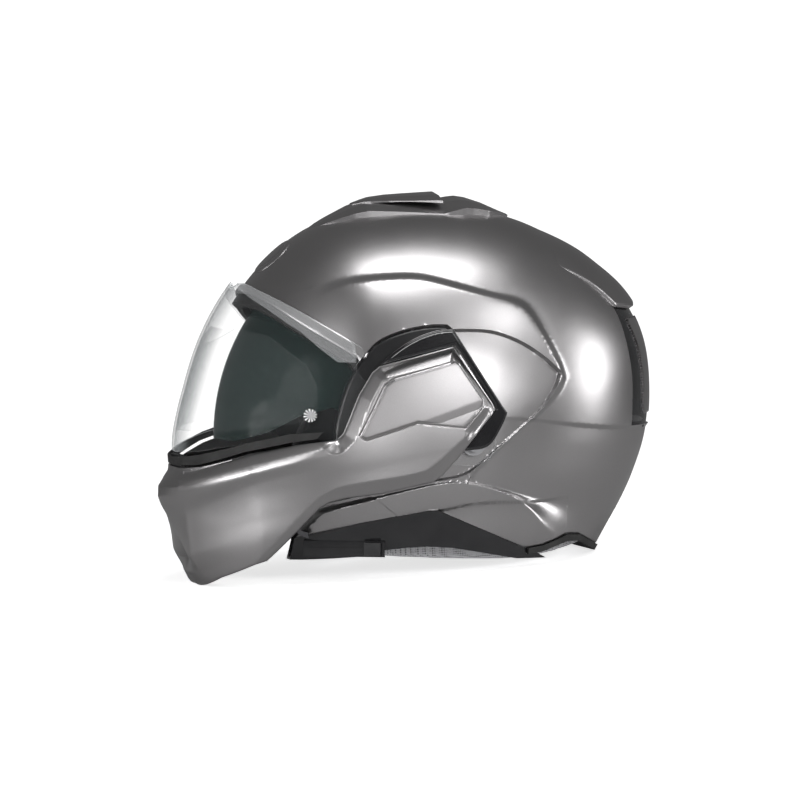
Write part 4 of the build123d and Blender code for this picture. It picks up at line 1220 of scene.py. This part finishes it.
wd = bpy.data.worlds.new("studio")
bpy.context.scene.world = wd
wd.use_nodes = True
bg = wd.node_tree.nodes["Background"]
bg.inputs["Color"].default_value = (1.0, 1.0, 1.0, 1)
bg.inputs["Strength"].default_value = 0.13


def soft_light(name, pos, target, size, power, size_y=None, color=(1, 1, 1)):
    L = bpy.data.lights.new(name, "AREA")
    L.energy = power
    L.color = color
    L.shape = "ELLIPSE"
    L.size = size
    L.size_y = size_y or size
    o = bpy.data.objects.new(name, L)
    bpy.context.scene.collection.objects.link(o)
    o.location = pos
    o.rotation_euler = (Vector(target) - Vector(pos)).to_track_quat("-Z", "Y").to_euler()
    o.visible_camera = False
    return o


mid = (0, 0.0, 0.14)
soft_light("top", (0.9, 0.2, 2.2), mid, 1.6, 22, 1.0)
soft_light("front", (1.3, -1.9, 0.85), mid, 1.2, 12, 1.3)
soft_light("low_front", (0.45, -2.3, 0.32), (0, -0.1, 0.1), 1.5, 14, 0.8)
soft_light("low_side", (2.7, -0.7, 0.3), (0, -0.1, 0.1), 1.1, 5, 0.5)
soft_light("side", (2.3, 0.55, 0.75), mid, 1.1, 15, 0.75)
soft_light("rear", (0.9, 2.1, 0.5), mid, 0.8, 12, 1.2)
soft_light("upper_rear", (1.6, 1.15, 1.5), (0.1, 0.05, 0.14), 0.6, 5, 0.6)

dome = bpy.data.materials.new("backdrop_white")
dome.use_nodes = True
nt = dome.node_tree
nt.nodes.clear()
out = nt.nodes.new("ShaderNodeOutputMaterial")
em = nt.nodes.new("ShaderNodeEmission")
em.inputs["Color"].default_value = (1, 1, 1, 1)
em.inputs["Strength"].default_value = 1.15
nt.links.new(em.outputs["Emission"], out.inputs["Surface"])
sp = bpy.data.meshes.new("backdrop")
nA, nB = 48, 24
V = [(7 * math.cos(b) * math.cos(a), 7 * math.cos(b) * math.sin(a), 7 * math.sin(b))
     for b in [math.radians(-90 + 180 * i / nB) for i in range(nB + 1)] for a in [2 * math.pi * j / nA for j in range(nA)]]
F = [(i * nA + j, (i + 1) * nA + j, (i + 1) * nA + (j + 1) % nA, i * nA + (j + 1) % nA) for i in range(nB) for j in range(nA)]
sp.from_pydata(V, [], F)
sp.materials.append(dome)
bd = bpy.data.objects.new("backdrop", sp)
bpy.context.scene.collection.objects.link(bd)
bd.visible_diffuse = bd.visible_glossy = bd.visible_transmission = bd.visible_shadow = False

# camera: 15 degrees to the front of square-on, 2.6 degrees down, from 3 m
al, be, dist = math.radians(15), math.radians(2.6), 3.0
Cd = np.array([math.cos(be) * math.cos(al), -math.cos(be) * math.sin(al), math.sin(be)])
Rt = np.array([math.sin(al), math.cos(al), 0])
Up = np.array([-math.sin(be) * math.cos(al), math.sin(be) * math.sin(al), math.cos(be)])
aim = np.array([0.0, -21.358, 24.852])
pos = world(aim + Cd * dist * 1000)


def turn(v):
    return Vector((v[0], CT * v[1] + ST * v[2], -ST * v[1] + CT * v[2]))


cam = bpy.data.cameras.new("camera")
cam.sensor_width = 36.0
cam.lens = 187.5
cam.clip_start, cam.clip_end = 0.05, 50
co = bpy.data.objects.new("camera", cam)
bpy.context.scene.collection.objects.link(co)
m = Matrix.Identity(4)
for i, v in enumerate((Rt, Up, Cd)):
    t_ = turn(v)
    for j in range(3):
        m[j][i] = t_[j]
for j in range(3):
    m[j][3] = pos[j]
co.matrix_world = m
bpy.context.scene.camera = co
bpy.context.scene.view_settings.view_transform = "Standard"
